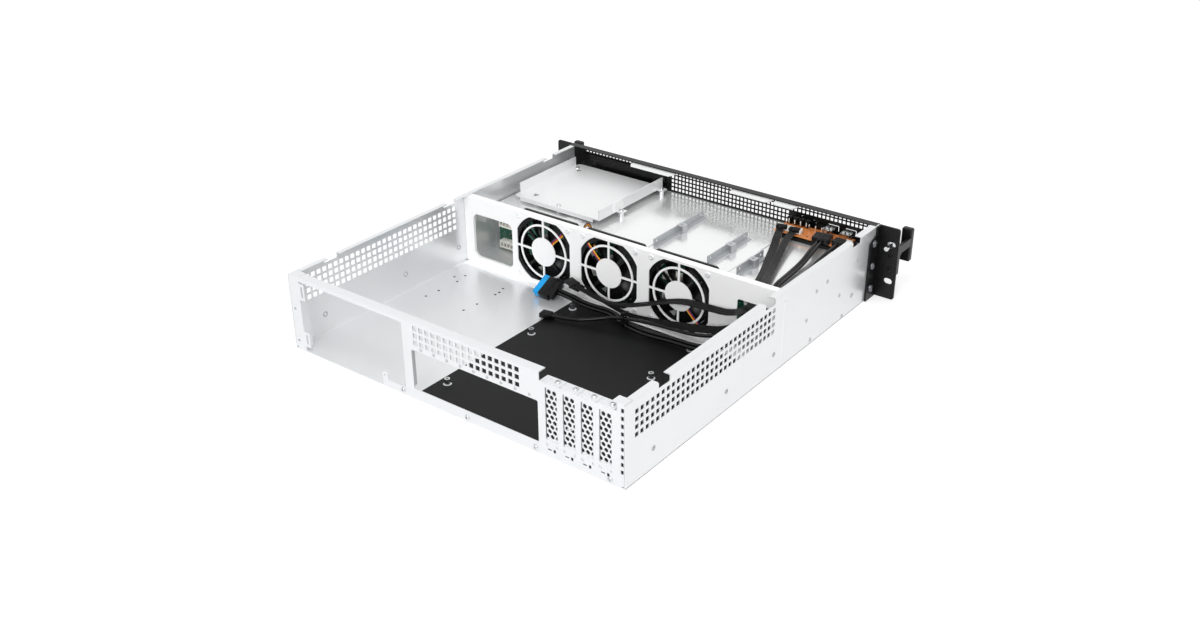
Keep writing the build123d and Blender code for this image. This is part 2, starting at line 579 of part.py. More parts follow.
# Fan rotor: cup, axle and seven pitched blades
def fan_rotor(x):
    front = FAN_FRONT_Y + 1
    rear = FAN_REAR_Y - 2 - FIT
    tip = FAN_BORE_R - FAN_TIP_GAP
    rotor = along_y(Circle(FAN_HUB_R), front, rear)
    rotor -= along_y(Circle(FAN_HUB_R - FAN_CUP_WALL), front + FAN_CUP_WALL, rear + 1)
    rotor += along_y(Circle(FAN_AXLE_R), front, rear)
    swept = along_y(Circle(tip) - Circle(FAN_HUB_R - FAN_CUP_WALL / 2), front, rear)
    blade = Pos((tip + FAN_HUB_R) / 2, (front + rear) / 2, 0) * Rot(-FAN_BLADE_PITCH, 0, 0) * Box(
        tip - FAN_HUB_R + 8, FAN_DEPTH, FAN_BLADE_THICK)
    blade &= swept
    for i in range(FAN_BLADES):
        rotor += Rot(0, 360 / FAN_BLADES * i, 0) * blade
    return Pos(x, 0, FAN_CENTRE_Z) * rotor


def fan_screws():
    """Self-tapping screws that hold the fans to the wall."""
    head_r, shank = FAN_SCREW
    return solids_of(*[screw(cx, FAN_WALL_Y, cz, shank=shank, head_r=head_r)
                       for x in FAN_X for cx, cz in fan_corners(x)])


# Drive cage: a roof plate with pressed ribs, on upright dividers with tray ledges
def drive_cage():
    end = DIVIDER_X[-1] + CAGE_SHEET / 2
    cage = block(-end, end, CAGE_FRONT_Y, CAGE_FRONT_Y + CAGE_LENGTH, CAGE_TOP_Z - CAGE_SHEET, CAGE_TOP_Z)
    width, height = CAGE_RIB
    for x in DIVIDER_X[1:-1]:
        cage += block(x - width / 2, x + width / 2, CAGE_FRONT_Y + 6, BACKPLANE_Y,
                      CAGE_TOP_Z, CAGE_TOP_Z + height)
    return cage


def cage_dividers():
    """Upright plates under the roof, each with the ledges that carry the trays beside it."""
    half = CAGE_SHEET / 2
    end = DIVIDER_X[-1] + half
    found = []
    for x in DIVIDER_X:
        profile = rect(x - half, x + half, SHEET, CAGE_TOP_Z - CAGE_SHEET)
        left = max(x - half - CAGE_LEDGE, -end)
        right = min(x + half + CAGE_LEDGE, end)
        for z in BAY_Z:
            profile += rect(left, right, z - FIT - LEDGE_SHEET, z - FIT)
        found.append(along_y(profile, CAGE_FRONT_Y, BACKPLANE_Y - FIT))
    return solids_of(*found)


def cage_brackets():
    """Upright L strips with a raised screw tab, spot-welded on the cage."""
    found = []
    low, top = CAGE_TOP_Z, CAGE_TOP_Z + BRACKET_HEIGHT
    half = BRACKET_TAB / 2
    for x, y0, y1 in CAGE_BRACKETS:
        middle = (y0 + y1) / 2
        wall = block(x - SHEET, x, y0, y1, low, top)
        wall -= [rod(x - 3, y, low + 5.4, SCREW_HOLE_R, 5, "x") for y in (y0 + 6, y1 - 6)]
        wall += block(x - BRACKET_FOOT, x, y0, y1, low, low + SHEET)
        wall += block(x - BRACKET_TAB, x, middle - half, middle + half, top, top + SHEET)
        wall += block(x - BRACKET_TAB, x - BRACKET_TAB + SHEET, middle - half, middle + half, low, top)
        found.append(wall - rod(x - half, middle, top - 1, SCREW_HOLE_R, 3, "z"))
    return solids_of(*found)


# Backplane boards behind the trays, and their power sockets
def backplanes():
    edge = DIVIDER_X[-1] - BACKPLANE_EDGE
    return solids_of(*[
        block(-edge, edge, BACKPLANE_Y, BACKPLANE_Y + BOARD_THICK,
              z + BACKPLANE_GAP / 2, z + BAY_ROW_PITCH - BACKPLANE_GAP / 2)
        for z in BAY_Z
    ])


def power_sockets():
    """White four-pin sockets on the rear of each backplane."""
    found = []
    length, height, depth = POWER_SOCKET
    y = BACKPLANE_Y + BOARD_THICK
    for z in BAY_Z:
        low = z + POWER_SOCKET_LIFT
        for divider, inset in zip(DIVIDER_X, POWER_SOCKET_INSET):
            x = divider + inset
            body = block(x, x + length, y, y + depth, low, low + height)
            ways = range(round((length - 2) // SOCKET_PIN_PITCH))
            body -= [block(x + 1.7 + SOCKET_PIN_PITCH * i, x + 5.7 + SOCKET_PIN_PITCH * i,
                           y + 2, y + depth + 1, low + SOCKET_WALL, low + height - SOCKET_WALL)
                     for i in ways]
            found.append(body)
    return solids_of(*found)


# Tray that carries one drive, with its moulded bezel
def drive_tray(x, z):
    left, right = x - BAY_HALF, x + BAY_HALF
    top = z + TRAY_HEIGHT
    back = BEZEL_DEPTH - BEZEL_PROUD
    inset = TRAY_OPEN_EDGE
    base = block(left, right, back, TRAY_LENGTH, z, z + TRAY_WALL)
    base -= block(left + inset, right - inset, back + 16, TRAY_LENGTH - 16, z - 1, z + TRAY_WALL + 1)
    for edge in (left, right - TRAY_WALL):
        base += block(edge, edge + TRAY_WALL, back, TRAY_LENGTH, z, z + TRAY_SIDE_HEIGHT)
    bezel = block(left, right, -BEZEL_PROUD, back, z, top)
    pitch = (TRAY_HEIGHT - 4) / BEZEL_SLOTS
    for i in range(BEZEL_SLOTS):
        low = z + 3.2 + pitch * i
        bezel -= block(left + 16, right - 9, -BEZEL_PROUD - 1, back + 1, low, low + BEZEL_SLOT)
    tray = base + bezel
    pin_x, pin_y = lever_pin(x)
    front = pin_y - LEVER_THICK / 2 - 1
    for low in (z, top - LEVER_LUG):
        lug = block(pin_x - 3, pin_x + 2.6, front, -BEZEL_PROUD, low, low + LEVER_LUG)
        tray += lug - rod(pin_x, pin_y, low - 1, LEVER_PIN_R + RUNNING_GAP, LEVER_LUG + 2, "z")
    return tray


def lever_pin(x):
    """The x and y of the lever's upright pin on the bay at x."""
    return x - BAY_HALF + LEVER_PIN_INSET, -BEZEL_PROUD - FIT - LEVER_THICK / 2


# Lever that swings out of the bezel to draw the tray
def tray_lever(x, z):
    pin_x, pin_y = lever_pin(x)
    low, high = z + LEVER_LUG + FIT, z + TRAY_HEIGHT - LEVER_LUG - FIT
    half = LEVER_THICK / 2
    arm = rect(pin_x, pin_x + LEVER_LENGTH, pin_y - half, pin_y + half) + Pos(pin_x, pin_y) * Circle(half)
    lever = Pos(0, 0, low) * extrude(arm, amount=high - low)
    pitch = (high - low - 3) / 3
    for i in range(3):
        z0 = low + 2.6 + pitch * i
        lever -= block(pin_x + 8, pin_x + LEVER_LENGTH - 18, pin_y - 3, pin_y + 3, z0, z0 + pitch - 2)
    pad = Pos(pin_x + LEVER_LENGTH - 8, pin_y - half, (low + high) / 2) * Rot(90, 0, 0)
    lever += pad * extrude(RectangleRounded(12, 10, 2), amount=1.0)
    reach = high - low + 2 * LEVER_LUG - 1
    return lever + rod(pin_x, pin_y, low - LEVER_LUG + 0.5, LEVER_PIN_R, reach, "z")


# Insulating sheet under the motherboard
def insulating_sheet():
    side, front, rear = INSULATION_BORDER
    face = rect(-WALL_IN + side, BOARD_LEFT_X + INSULATION_LEFT,
                FAN_WALL_Y + FAN_WALL_FOOT + front, REAR_IN - rear)
    sheet = Pos(0, 0, SHEET) * extrude(face, amount=INSULATION)
    for x, y in standoff_places():
        sheet -= rod(x, y, 0, STANDOFF_CLEAR_R, SHEET + INSULATION + 1, "z")
    return sheet


def standoff_places():
    """The screw grid of a full-size motherboard."""
    board_rear = DEPTH - BOARD_REAR
    return [(BOARD_LEFT_X - gx, board_rear - gy) for gx in BOARD_GRID_X for gy in BOARD_GRID_Y]


def standoffs():
    """Six-sided threaded posts pressed into the floor."""
    found = []
    form = RegularPolygon(STANDOFF_FLATS / 2, 6, major_radius=False)
    for x, y in standoff_places():
        post = Pos(x, y, SHEET) * extrude(form, amount=STANDOFF_HEIGHT)
        found.append(post - rod(x, y, SHEET + 1, STANDOFF_THREAD_R, STANDOFF_HEIGHT, "z"))
    return solids_of(*found)


# Tray for a slim optical drive, on posts above the cage
def optical_tray():
    x0, x1 = OPTICAL_LEFT_X, OPTICAL_RIGHT_X
    y0, y1 = OPTICAL_FRONT_Y, OPTICAL_REAR_Y
    under, top = OPTICAL_FLOOR_Z - SHEET, OPTICAL_FLOOR_Z + OPTICAL_WALL
    front_cut, rear_cut = OPTICAL_WALL_CUT
    inset, drop = OPTICAL_LIP
    plate = rect(x0, x1, y0, y1, OPTICAL_CORNER) + rect(x0, x0 + front_cut, y0, y1)
    for x, y in tray_post_places()[:2]:
        plate += rect(x - OPTICAL_TAB, x0 + 1, y - OPTICAL_TAB, y + OPTICAL_TAB, 1.0)
    rear_x, rear_y = OPTICAL_CUT_REAR
    front_x, front_y = OPTICAL_CUT_FRONT
    for x, y in ((x1 - rear_x, y1 - rear_y), (x1 - front_x, y0 + front_y)):
        plate -= Pos(x, y) * Triangle(a=OPTICAL_CUT, b=OPTICAL_CUT, c=OPTICAL_CUT)
    plate -= [Pos(x, y) * Circle(SCREW_HOLE_R) for x, y in tray_post_places()]
    tray = Pos(0, 0, under) * extrude(plate, amount=SHEET)
    tray += block(x0, x0 + SHEET, y0, y1, OPTICAL_FLOOR_Z, top)
    tray += block(x1 - SHEET, x1, y0 + front_cut, y1 - rear_cut, OPTICAL_FLOOR_Z, top)
    return tray + block(x0 + inset, x1 - inset, y1 - SHEET, y1, under - drop, under)


def tray_post_places():
    """Where posts carry the optical tray: two on its side tabs, two under its floor."""
    tab_x = OPTICAL_LEFT_X - OPTICAL_TAB_OUT
    side, rear_tab, lip, front = OPTICAL_POST_IN
    rear_post = (OPTICAL_LEFT_X + OPTICAL_WIDTH / 2, OPTICAL_REAR_Y - lip)
    return [(tab_x, OPTICAL_REAR_Y - rear_tab), (tab_x, OPTICAL_FRONT_Y + side), rear_post,
            (OPTICAL_RIGHT_X - side, OPTICAL_FRONT_Y + front)]


def tray_posts():
    """Round posts between the cage and the optical tray."""
    height = OPTICAL_FLOOR_Z - SHEET - CAGE_TOP_Z
    return solids_of(*[
        rod(x, y, CAGE_TOP_Z, OPTICAL_POST_R, height, "z")
        - rod(x, y, CAGE_TOP_Z + 1, SCREW_SHANK_R, height, "z")
        for x, y in tray_post_places()
    ])


# Front panel: bay opening, drive slot, socket slots, button holes and vent fields
def front_panel():
    edge = HALF - FIT
    face = rect(-edge, edge, PANEL_EDGE_GAP, HEIGHT)
    bay_x = DIVIDER_X[-1] - FIT
    x0, x1 = OPTICAL_LEFT_X, OPTICAL_RIGHT_X
    high = BEZEL_LOW_Z + OPTICAL_BEZEL
    cut = [
        rect(-bay_x, bay_x, BAY_Z[0] - 0.5, BAY_Z[-1] + TRAY_HEIGHT + 0.6),
        rect(x0 + 2, x1 - 2, BEZEL_LOW_Z, high),
    ]
    for x in IO_SOCKET_X:
        width, height = IO_SOCKET
        cut.append(rect(x - width / 2, x + width / 2, IO_BOARD_TOP, IO_BOARD_TOP + height, 1.0))
    cut += [Pos(x, BUTTON_Z) * Circle(r + FIT) for x, r in (POWER_BUTTON, RESET_BUTTON)]
    cut += [rect(*window) for window in mesh_windows()]
    panel = along_y(face - cut, 0, PANEL_SHEET)
    return panel + block(-EDGE_IN, EDGE_IN, PANEL_SHEET, PANEL_SHEET + PANEL_FLANGE,
                         HEIGHT - PANEL_SHEET, HEIGHT)


def mesh_windows():
    """The windows of the perforated fields, as x and z limits."""
    top = HEIGHT - MESH_DROP
    return [(left - columns * MESH_PITCH, left, top - rows * MESH_PITCH, top)
            for left, columns, rows in MESH_FIELDS]


def front_mesh():
    """Perforated fields that fill the panel's windows, flush with it."""
    fields = []
    pitch = MESH_PITCH * MESH_CELL_COLUMNS
    cell = Rectangle(pitch - MESH_PITCH + MESH_HOLE, MESH_HOLE)
    for (x0, x1, z0, z1), (_, columns, rows) in zip(mesh_windows(), MESH_FIELDS):
        holes = field(x0 + pitch / 2, z1 - MESH_PITCH / 2, pitch, MESH_PITCH,
                      columns // MESH_CELL_COLUMNS, rows, cell)
        fields.append(along_y(rect(x0, x1, z0, z1) - holes, 0, PANEL_SHEET))
    return solids_of(*fields)


def optical_bezel():
    """Blank moulded cover of the slim drive slot, with a raised edge behind the panel."""
    x0, x1 = OPTICAL_LEFT_X + 2.5, OPTICAL_RIGHT_X - 2.5
    low, high = BEZEL_LOW_Z + 0.4, BEZEL_LOW_Z + OPTICAL_BEZEL - 0.4
    cover = along_y(rect(x0, x1, low, high, 1.0), -0.8, PANEL_SHEET)
    return cover + along_y(grown((x0, x1, low, high), 1.4, 1.0), PANEL_SHEET, PANEL_SHEET + 2)


def lid_catches():
    """Bright tabs under the front flange that a top cover hooks into."""
    under = HEIGHT - PANEL_SHEET
    found = []
    for x0, x1 in CATCH_SPANS:
        tab = block(x0, x1, PANEL_SHEET, PANEL_SHEET + 6, under - SHEET, under)
        found.append(tab + block(x0, x1, PANEL_SHEET, PANEL_SHEET + SHEET, under - 3.2, under))
    return solids_of(*found)


# Rack ears with their side legs
def rack_ear(side):
    inner, out = HALF + FIT, RACK_WIDTH / 2
    top = HEIGHT - PANEL_EDGE_GAP
    plate = rect(inner, out, 0, top, EAR_CORNER) + rect(inner, inner + EAR_CORNER + 1, 0, top)
    slot = RectangleRounded(*RACK_SLOT, RACK_SLOT[1] / 2 - 0.01)
    plate -= [Pos(HANDLE_HOLE_X, z) * slot for z in (LOWER_SLOT_Z, UPPER_SLOT_Z)]
    plate -= [Pos(HANDLE_HOLE_X, z) * Circle(SCREW_HOLE_R) for z in HANDLE_SCREW_Z]
    neck_z = top - EAR_STEP[0]
    leg = make_face(Polyline((0, 0), (EAR_LEG, 0), (EAR_LEG, neck_z - EAR_STEP[1]),
                             (EAR_NECK, neck_z), (EAR_NECK, top), (0, top), close=True))
    leg -= [Pos(RIVET_Y, z) * Circle(SCREW_HOLE_R) for z in RIVET_Z]
    return on_side(along_y(plate, 0, EAR_SHEET) + along_x(leg, inner, inner + EAR_SHEET), side)


# Pull handle: a foot on the ear, an arm along its outer edge and an upright grip
def handle(side):
    out = RACK_WIDTH / 2
    inner = out - HANDLE_WIDTH
    grip_y = HANDLE_GRIP - HANDLE_REACH
    grip = block(inner, out, -HANDLE_REACH, grip_y, HANDLE_LOW_Z, HANDLE_TOP_Z)
    grip = fillet(grip.edges().filter_by(Axis.X), 2.0)
    grip = fillet(grip.edges().filter_by(Axis.Z).sort_by(Axis.Y)[:2], 2.0)
    low = HANDLE_SCREW_Z[0] - HANDLE_FOOT_MARGIN
    high = HANDLE_SCREW_Z[-1] + HANDLE_FOOT_MARGIN
    top = HANDLE_ARM_Z + HANDLE_ARM
    outline = Polyline((0, low), (-HANDLE_FOOT, low), (-HANDLE_FOOT, HANDLE_ARM_Z),
                       (grip_y, HANDLE_ARM_Z), (grip_y, top), (0, top), close=True)
    arm = along_x(make_face(outline), out - HANDLE_PLATE, out)
    corner = arm.edges().filter_by(Axis.X).sort_by_distance((out, -HANDLE_FOOT, HANDLE_ARM_Z))[0]
    form = grip + fillet(corner, 6.0) + block(inner, out, -HANDLE_FOOT, 0, low, high)
    form -= [rod(HANDLE_HOLE_X, 1, z, SCREW_SHANK_R + 0.02, -5, "y") for z in HANDLE_SCREW_Z]
    return on_side(form, side)


def thumb_screw(side):
    """Captive screw: fluted knob before the ear, thin neck through it, thread behind."""
    x, z = HANDLE_HOLE_X, UPPER_SLOT_Z
    knob = rod(x, -FIT, z, THUMB_KNOB_R, -THUMB_KNOB)
    for i in range(THUMB_FLUTES):
        flute = Rot(0, 360 / THUMB_FLUTES * i, 0) * rod(THUMB_KNOB_R + 0.4, -1.5, 0, 0.9, -THUMB_KNOB)
        knob -= Pos(x, 0, z) * flute
    slit = block(x - THUMB_KNOB_R, x + THUMB_KNOB_R, -THUMB_KNOB - FIT - 1, -THUMB_KNOB + 1,
                 z - 0.6, z + 0.6)
    thread_y = THUMB_REACH - THUMB_THREAD
    shoulder = Pos(x, thread_y - 1, z) * Rot(-90, 0, 0) * Cone(
        THUMB_NECK_R, THUMB_THREAD_R, 1, align=(Align.CENTER, Align.CENTER, Align.MIN))
    body = knob - slit + rod(x, -1, z, THUMB_NECK_R, thread_y) + shoulder
    return on_side(body + rod(x, thread_y, z, THUMB_THREAD_R, THUMB_THREAD), side)


def ear_fasteners():
    """Round-headed rivets of the ears' legs, and the screws that hold the handles."""
    seat = HALF + FIT + EAR_SHEET
    found = []
    for z in RIVET_Z:
        head = rod(seat, RIVET_Y, z, RIVET_HEAD_R, RIVET_HEAD_H, "x")
        head = chamfer(head.edges().filter_by(GeomType.CIRCLE).sort_by(Axis.X)[-1], RIVET_HEAD_H * 0.6)
        rivet = head + rod(seat, RIVET_Y, z, SCREW_SHANK_R, WALL_IN - seat, "x")
        found += [rivet, on_side(rivet, -1)]
    found += [screw(side * HANDLE_HOLE_X, EAR_SHEET, z, shank=5)
              for side in (-1, 1) for z in HANDLE_SCREW_Z]
    return solids_of(*found)


def panel_screws():
    """Pan-head screws: slot covers, rear edge and optical tray."""
    found = [screw(x, y, LEDGE_Z + SLOT_COVER_SHEET, "z") for x, y in slot_screw_places()]
    found += [screw(x, DEPTH, REAR_SCREW_Z, shank=3) for x in REAR_SCREW_X]
    found += [screw(x, y, OPTICAL_FLOOR_Z, "z", shank=5) for x, y in tray_post_places()]
    return solids_of(*found)


# Front socket board, its carrier and what is on it
def io_board():
    x0, x1 = IO_BOARD_X - IO_BOARD[0], IO_BOARD_X
    y1 = IO_BOARD_Y + IO_BOARD[1]
    board = block(x0, x1, IO_BOARD_Y, y1, IO_BOARD_Z, IO_BOARD_TOP)
    return board - [rod(x, y1 - 5, IO_BOARD_Z - 1, SCREW_HOLE_R, 4, "z") for x in (x0 + 4, x1 - 40)]


def io_carrier():
    """Black folded bracket that stands on the cage and carries the socket board."""
    x0, x1 = IO_BOARD_X - IO_BOARD[0] - 2, IO_BOARD_X + 2
    rib_end = DIVIDER_X[1] - CAGE_RIB[0] / 2 - FIT
    y0, y1 = IO_BOARD_Y - 1, IO_BOARD_Y + IO_BOARD[1] + 2
    plate = block(x0, rib_end, y0, y1, CAGE_TOP_Z, CAGE_TOP_Z + SHEET)
    plate += block(x0, rib_end, y1 - SHEET, y1, CAGE_TOP_Z, IO_BOARD_Z - SHEET)
    for edge in (x0, rib_end - SHEET):
        plate += block(edge, edge + SHEET, y0, y1, CAGE_TOP_Z, IO_BOARD_Z)
    return plate + block(x0, x1, y0, y0 + 3, IO_BOARD_Z - SHEET, IO_BOARD_Z)


def io_sockets():
    """Sockets, switches, lamps and headers soldered to the front board."""
    found = []
    width, height = IO_SOCKET
    front = PANEL_SHEET + FIT
    for x in IO_SOCKET_X:
        half = width / 2 - 0.5
        shell = block(x - half, x + half, front, front + IO_SOCKET_LENGTH,
                      IO_BOARD_TOP, IO_BOARD_TOP + height - 0.4)
        found.append(shell - block(x - half + 0.7, x + half - 0.7, 0, front + IO_SOCKET_LENGTH - 4,
                                   IO_BOARD_TOP + 1, IO_BOARD_TOP + height - 1.2))
    for x in (POWER_BUTTON[0], RESET_BUTTON[0]):
        found.append(block(x - 4, x + 4, SWITCH_Y, SWITCH_Y + 7, IO_BOARD_TOP, BUTTON_Z + 4))
    for x in LAMP_X:
        lamp = block(x - 1.3, x + 1.3, 4, 9.5, IO_BOARD_TOP, IO_BOARD_TOP + 6)
        found.append(lamp + rod(x, 4, IO_BOARD_TOP + 4.6, 1.2, -2))
    for x, length in HEADERS:
        found.append(block(x - length / 2, x + length / 2, HEADER_Y, HEADER_Y + 6,
                           IO_BOARD_TOP, IO_BOARD_TOP + HEADER_HEIGHT))
    return solids_of(*found)


def button(x, radius):
    """A push button whose cap stands in the panel and whose stem nearly meets its switch."""
    cap = rod(x, -BUTTON_PROUD, BUTTON_Z, radius, BUTTON_CAP)
    start = BUTTON_CAP - BUTTON_PROUD
    return cap + rod(x, start, BUTTON_Z, BUTTON_STEM_R, SWITCH_Y - BUTTON_TRAVEL - FIT - start)


# Cords: straight runs joined by arcs as large as the runs allow
def cord(route, diameter):
    spots = [Vector(*spot) for spot in route]
    runs = [b - a for a, b in zip(spots, spots[1:])]
    radii = [0.45 * min(a.length, b.length) / tan(radians(a.get_angle(b)) / 2)
             for a, b in zip(runs, runs[1:])]
    path = FilletPolyline(*spots, radius=radii)
    tube = sweep(Plane(origin=path @ 0, z_dir=path % 0) * Circle(diameter / 2), path=path)
    ideal = pi * diameter ** 2 / 4 * path.length
    print(f"cord {diameter} mm: length {path.length:.0f}, volume {tube.volume / ideal:.4f} of ideal, radii",
          " ".join(f"{r:.0f}" for r in radii))
    return tube


def plug(route, end, size, tilt=0.0):
    """A plug whose rear face meets one end of a cord, in line with the cord's last run."""
    near, last = (route[1], route[0]) if end == "start" else (route[-2], route[-1])
    way = (Vector(*last) - Vector(*near)).normalized()
    across = way.cross(Vector(0, 0, 1)).normalized()
    width, height, length = size
    place = Plane(origin=last, x_dir=across, z_dir=way) * Rot(0, 0, tilt)
    return place * Box(width, height, length, align=(Align.CENTER, Align.CENTER, Align.MIN))


def cable_plugs():
    """Plugs on the front socket board, and those at the cords' other ends."""
    starts = ((USB_ROUTE, USB_FRONT_PLUG), (AUDIO_ROUTE, SMALL_PLUG),
              (LEADS_ROUTE_1, SMALL_PLUG), (LEADS_ROUTE_2, SMALL_PLUG))
    ends = ((AUDIO_ROUTE, SMALL_PLUG), (LEADS_ROUTE_1, LEAD_PLUG), (LEADS_ROUTE_2, LEAD_PLUG),
            (FAN_LEAD_ROUTE, FAN_PLUG))
    return solids_of(*[plug(route, "start", size) for route, size in starts],
                     *[plug(route, "end", size) for route, size in ends])


if __name__ == "__main__":
    parts["chassis_pan"] = chassis_pan()
    parts["rear_panel"] = rear_panel()
    parts["slot_covers"] = slot_covers()
    parts["fan_wall"] = fan_wall()
    for n, x in enumerate(FAN_X, 1):
        parts[f"fan_housing_{n}"] = fan_housing(x)
        parts[f"fan_rotor_{n}"] = fan_rotor(x)
    parts["fan_screws"] = fan_screws()
    parts["drive_cage"] = drive_cage()
    parts["cage_dividers"] = cage_dividers()
    parts["cage_brackets"] = cage_brackets()
    parts["backplanes"] = backplanes()
    parts["power_sockets"] = power_sockets()
    for n, (x, z) in enumerate([(x, z) for z in BAY_Z for x in BAY_X], 1):
        parts[f"drive_tray_{n}"] = drive_tray(x, z)
        parts[f"tray_lever_{n}"] = tray_lever(x, z)
    parts["insulating_sheet"] = insulating_sheet()
    parts["standoffs"] = standoffs()
    parts["optical_tray"] = optical_tray()
    parts["tray_posts"] = tray_posts()
    parts["front_panel"] = front_panel()
    parts["front_mesh"] = front_mesh()
    parts["optical_bezel"] = optical_bezel()
    parts["lid_catches"] = lid_catches()
    for name, side in (("left", -1), ("right", 1)):
        parts[f"rack_ear_{name}"] = rack_ear(side)
        parts[f"handle_{name}"] = handle(side)
        parts[f"thumb_screw_{name}"] = thumb_screw(side)
    parts["ear_fasteners"] = ear_fasteners()
    parts["panel_screws"] = panel_screws()
    parts["io_board"] = io_board()
    parts["io_carrier"] = io_carrier()
    parts["io_sockets"] = io_sockets()
    parts["power_button"] = button(*POWER_BUTTON)
    parts["reset_button"] = button(*RESET_BUTTON)
    parts["usb_cable"] = cord(USB_ROUTE, USB_CABLE)
    parts["audio_cable"] = cord(AUDIO_ROUTE, AUDIO_CABLE)
    parts["panel_leads_1"] = cord(LEADS_ROUTE_1, LEAD_BUNDLE)
    parts["panel_leads_2"] = cord(LEADS_ROUTE_2, LEAD_BUNDLE)
    parts["fan_lead"] = cord(FAN_LEAD_ROUTE, FAN_LEAD)
    parts["usb_plug"] = plug(USB_ROUTE, "end", USB_PLUG, USB_PLUG_TILT)
    parts["cable_plugs"] = cable_plugs()
    os.makedirs("parts", exist_ok=True)
    for node, shape in parts.items():
        export_step(Pos(0, -Y_MIDDLE, 0) * shape, f"parts/{node}.step")
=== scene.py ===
"""Looks of an empty two-unit rackmount server case, laid out as an add-on and run as a script."""

import json
from math import cos, pi, radians, sin
from random import Random

import bmesh
import bpy
from mathutils import Matrix, Vector


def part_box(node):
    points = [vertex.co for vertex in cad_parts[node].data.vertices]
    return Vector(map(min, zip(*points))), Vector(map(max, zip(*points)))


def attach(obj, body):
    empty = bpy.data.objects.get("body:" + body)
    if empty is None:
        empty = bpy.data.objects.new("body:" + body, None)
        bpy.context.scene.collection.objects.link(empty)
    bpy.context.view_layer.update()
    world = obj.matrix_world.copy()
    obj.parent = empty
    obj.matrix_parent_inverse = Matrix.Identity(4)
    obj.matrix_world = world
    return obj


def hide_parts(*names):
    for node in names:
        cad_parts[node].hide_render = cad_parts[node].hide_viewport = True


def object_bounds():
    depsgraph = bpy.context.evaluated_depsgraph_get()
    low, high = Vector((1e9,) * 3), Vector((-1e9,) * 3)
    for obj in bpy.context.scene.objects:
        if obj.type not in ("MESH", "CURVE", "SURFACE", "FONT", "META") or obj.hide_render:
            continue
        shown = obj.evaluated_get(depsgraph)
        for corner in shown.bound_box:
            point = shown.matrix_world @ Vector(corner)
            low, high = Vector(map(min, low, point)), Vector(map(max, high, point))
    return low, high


bl_info = {
    "name": "Empty rackmount server case",
    "version": (1, 0, 0),
    "blender": (4, 5, 0),
    "location": "View3D > Sidebar > Server case",
    "description": "Finishes a folded-steel server case: metal, fans, cables and small parts",
    "category": "Object",
}

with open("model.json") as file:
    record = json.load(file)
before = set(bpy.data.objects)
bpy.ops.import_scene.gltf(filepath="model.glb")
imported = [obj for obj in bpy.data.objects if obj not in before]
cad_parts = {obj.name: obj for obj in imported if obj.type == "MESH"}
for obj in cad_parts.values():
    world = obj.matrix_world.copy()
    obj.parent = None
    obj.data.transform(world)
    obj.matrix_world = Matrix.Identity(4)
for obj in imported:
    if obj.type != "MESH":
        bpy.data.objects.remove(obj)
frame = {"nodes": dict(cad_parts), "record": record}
NODES = frame["nodes"]
CAD_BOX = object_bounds()
# The source measures y from the front panel's face, and the frame from the middle of the case
FRONT_FACE_TO_MIDDLE = 220.7


def spot(x, y, z):
    """A point in the source's millimetres, as metres in the frame."""
    return Vector((x / 1000, (y - FRONT_FACE_TO_MIDDLE) / 1000, z / 1000))


# Colours and node trees

def linear(code, alpha=1.0):
    """An sRGB colour written in hex, as the linear colour that the shaders take."""
    found = []
    for i in (1, 3, 5):
        part = int(code[i:i + 2], 16) / 255
        found.append(part / 12.92 if part <= 0.04045 else ((part + 0.055) / 1.055) ** 2.4)
    return (*found, alpha)


def add(tree, kind, values=None, links=None, **settings):
    """One node, with its settings, its socket values and what is plugged into its sockets."""
    made = tree.nodes.new(kind)
    for key, value in settings.items():
        setattr(made, key, value)
    for key, value in (values or {}).items():
        made.inputs[key].default_value = value
    for key, source in (links or {}).items():
        tree.links.new(source, made.inputs[key])
    return made


def ramp(tree, factor, stops):
    """A colour ramp through (place, colour) stops."""
    made = add(tree, "ShaderNodeValToRGB", links={"Fac": factor})
    band = made.color_ramp
    while len(band.elements) < len(stops):
        band.elements.new(0.5)
    for element, (place, colour) in zip(band.elements, stops):
        element.position = place
        element.color = colour
    return made.outputs["Color"]


def grey(level):
    return (level, level, level, 1.0)


def surface(name, **sockets):
    """An empty material with one principled shader, its plain sockets set."""
    material = bpy.data.materials.new(name)
    material.use_nodes = True
    tree = material.node_tree
    tree.nodes.clear()
    shader = add(tree, "ShaderNodeBsdfPrincipled", values=sockets)
    add(tree, "ShaderNodeOutputMaterial", links={"Surface": shader.outputs["BSDF"]})
    return material, tree, shader


def pattern_place(tree, scale=(1, 1, 1)):
    """The piece's own coordinates, in metres, stretched along each axis."""
    where = add(tree, "ShaderNodeTexCoord")
    return add(tree, "ShaderNodeMapping", values={"Scale": scale},
               links={"Vector": where.outputs["Object"]}).outputs["Vector"]


def noise(tree, grain_mm, stretch=(1, 1, 1), detail=3.0):
    """Noise whose blotches are about grain_mm across, drawn out by the stretch."""
    place = pattern_place(tree, tuple(1000 / grain_mm / s for s in stretch))
    made = add(tree, "ShaderNodeTexNoise", values={"Scale": 1.0, "Detail": detail, "Roughness": 0.5},
               links={"Vector": place})
    return made.outputs["Fac"]


def maths(tree, operation, first, second=0.0):
    """The result of one maths node, whose sides are sockets or plain numbers."""
    made = add(tree, "ShaderNodeMath", operation=operation)
    for i, side in enumerate((first, second)):
        if isinstance(side, float):
            made.inputs[i].default_value = side
        else:
            tree.links.new(side, made.inputs[i])
    return made.outputs[0]


def bumped(tree, shader, height, strength, depth_mm):
    bump = add(tree, "ShaderNodeBump", values={"Strength": strength, "Distance": depth_mm / 1000},
               links={"Height": height})
    tree.links.new(bump.outputs["Normal"], shader.inputs["Normal"])


# Where a pattern's ramp starts and ends: across all of the noise, or across its middle
WHOLE = (0.0, 1.0)
MIDDLE = (0.3, 0.7)


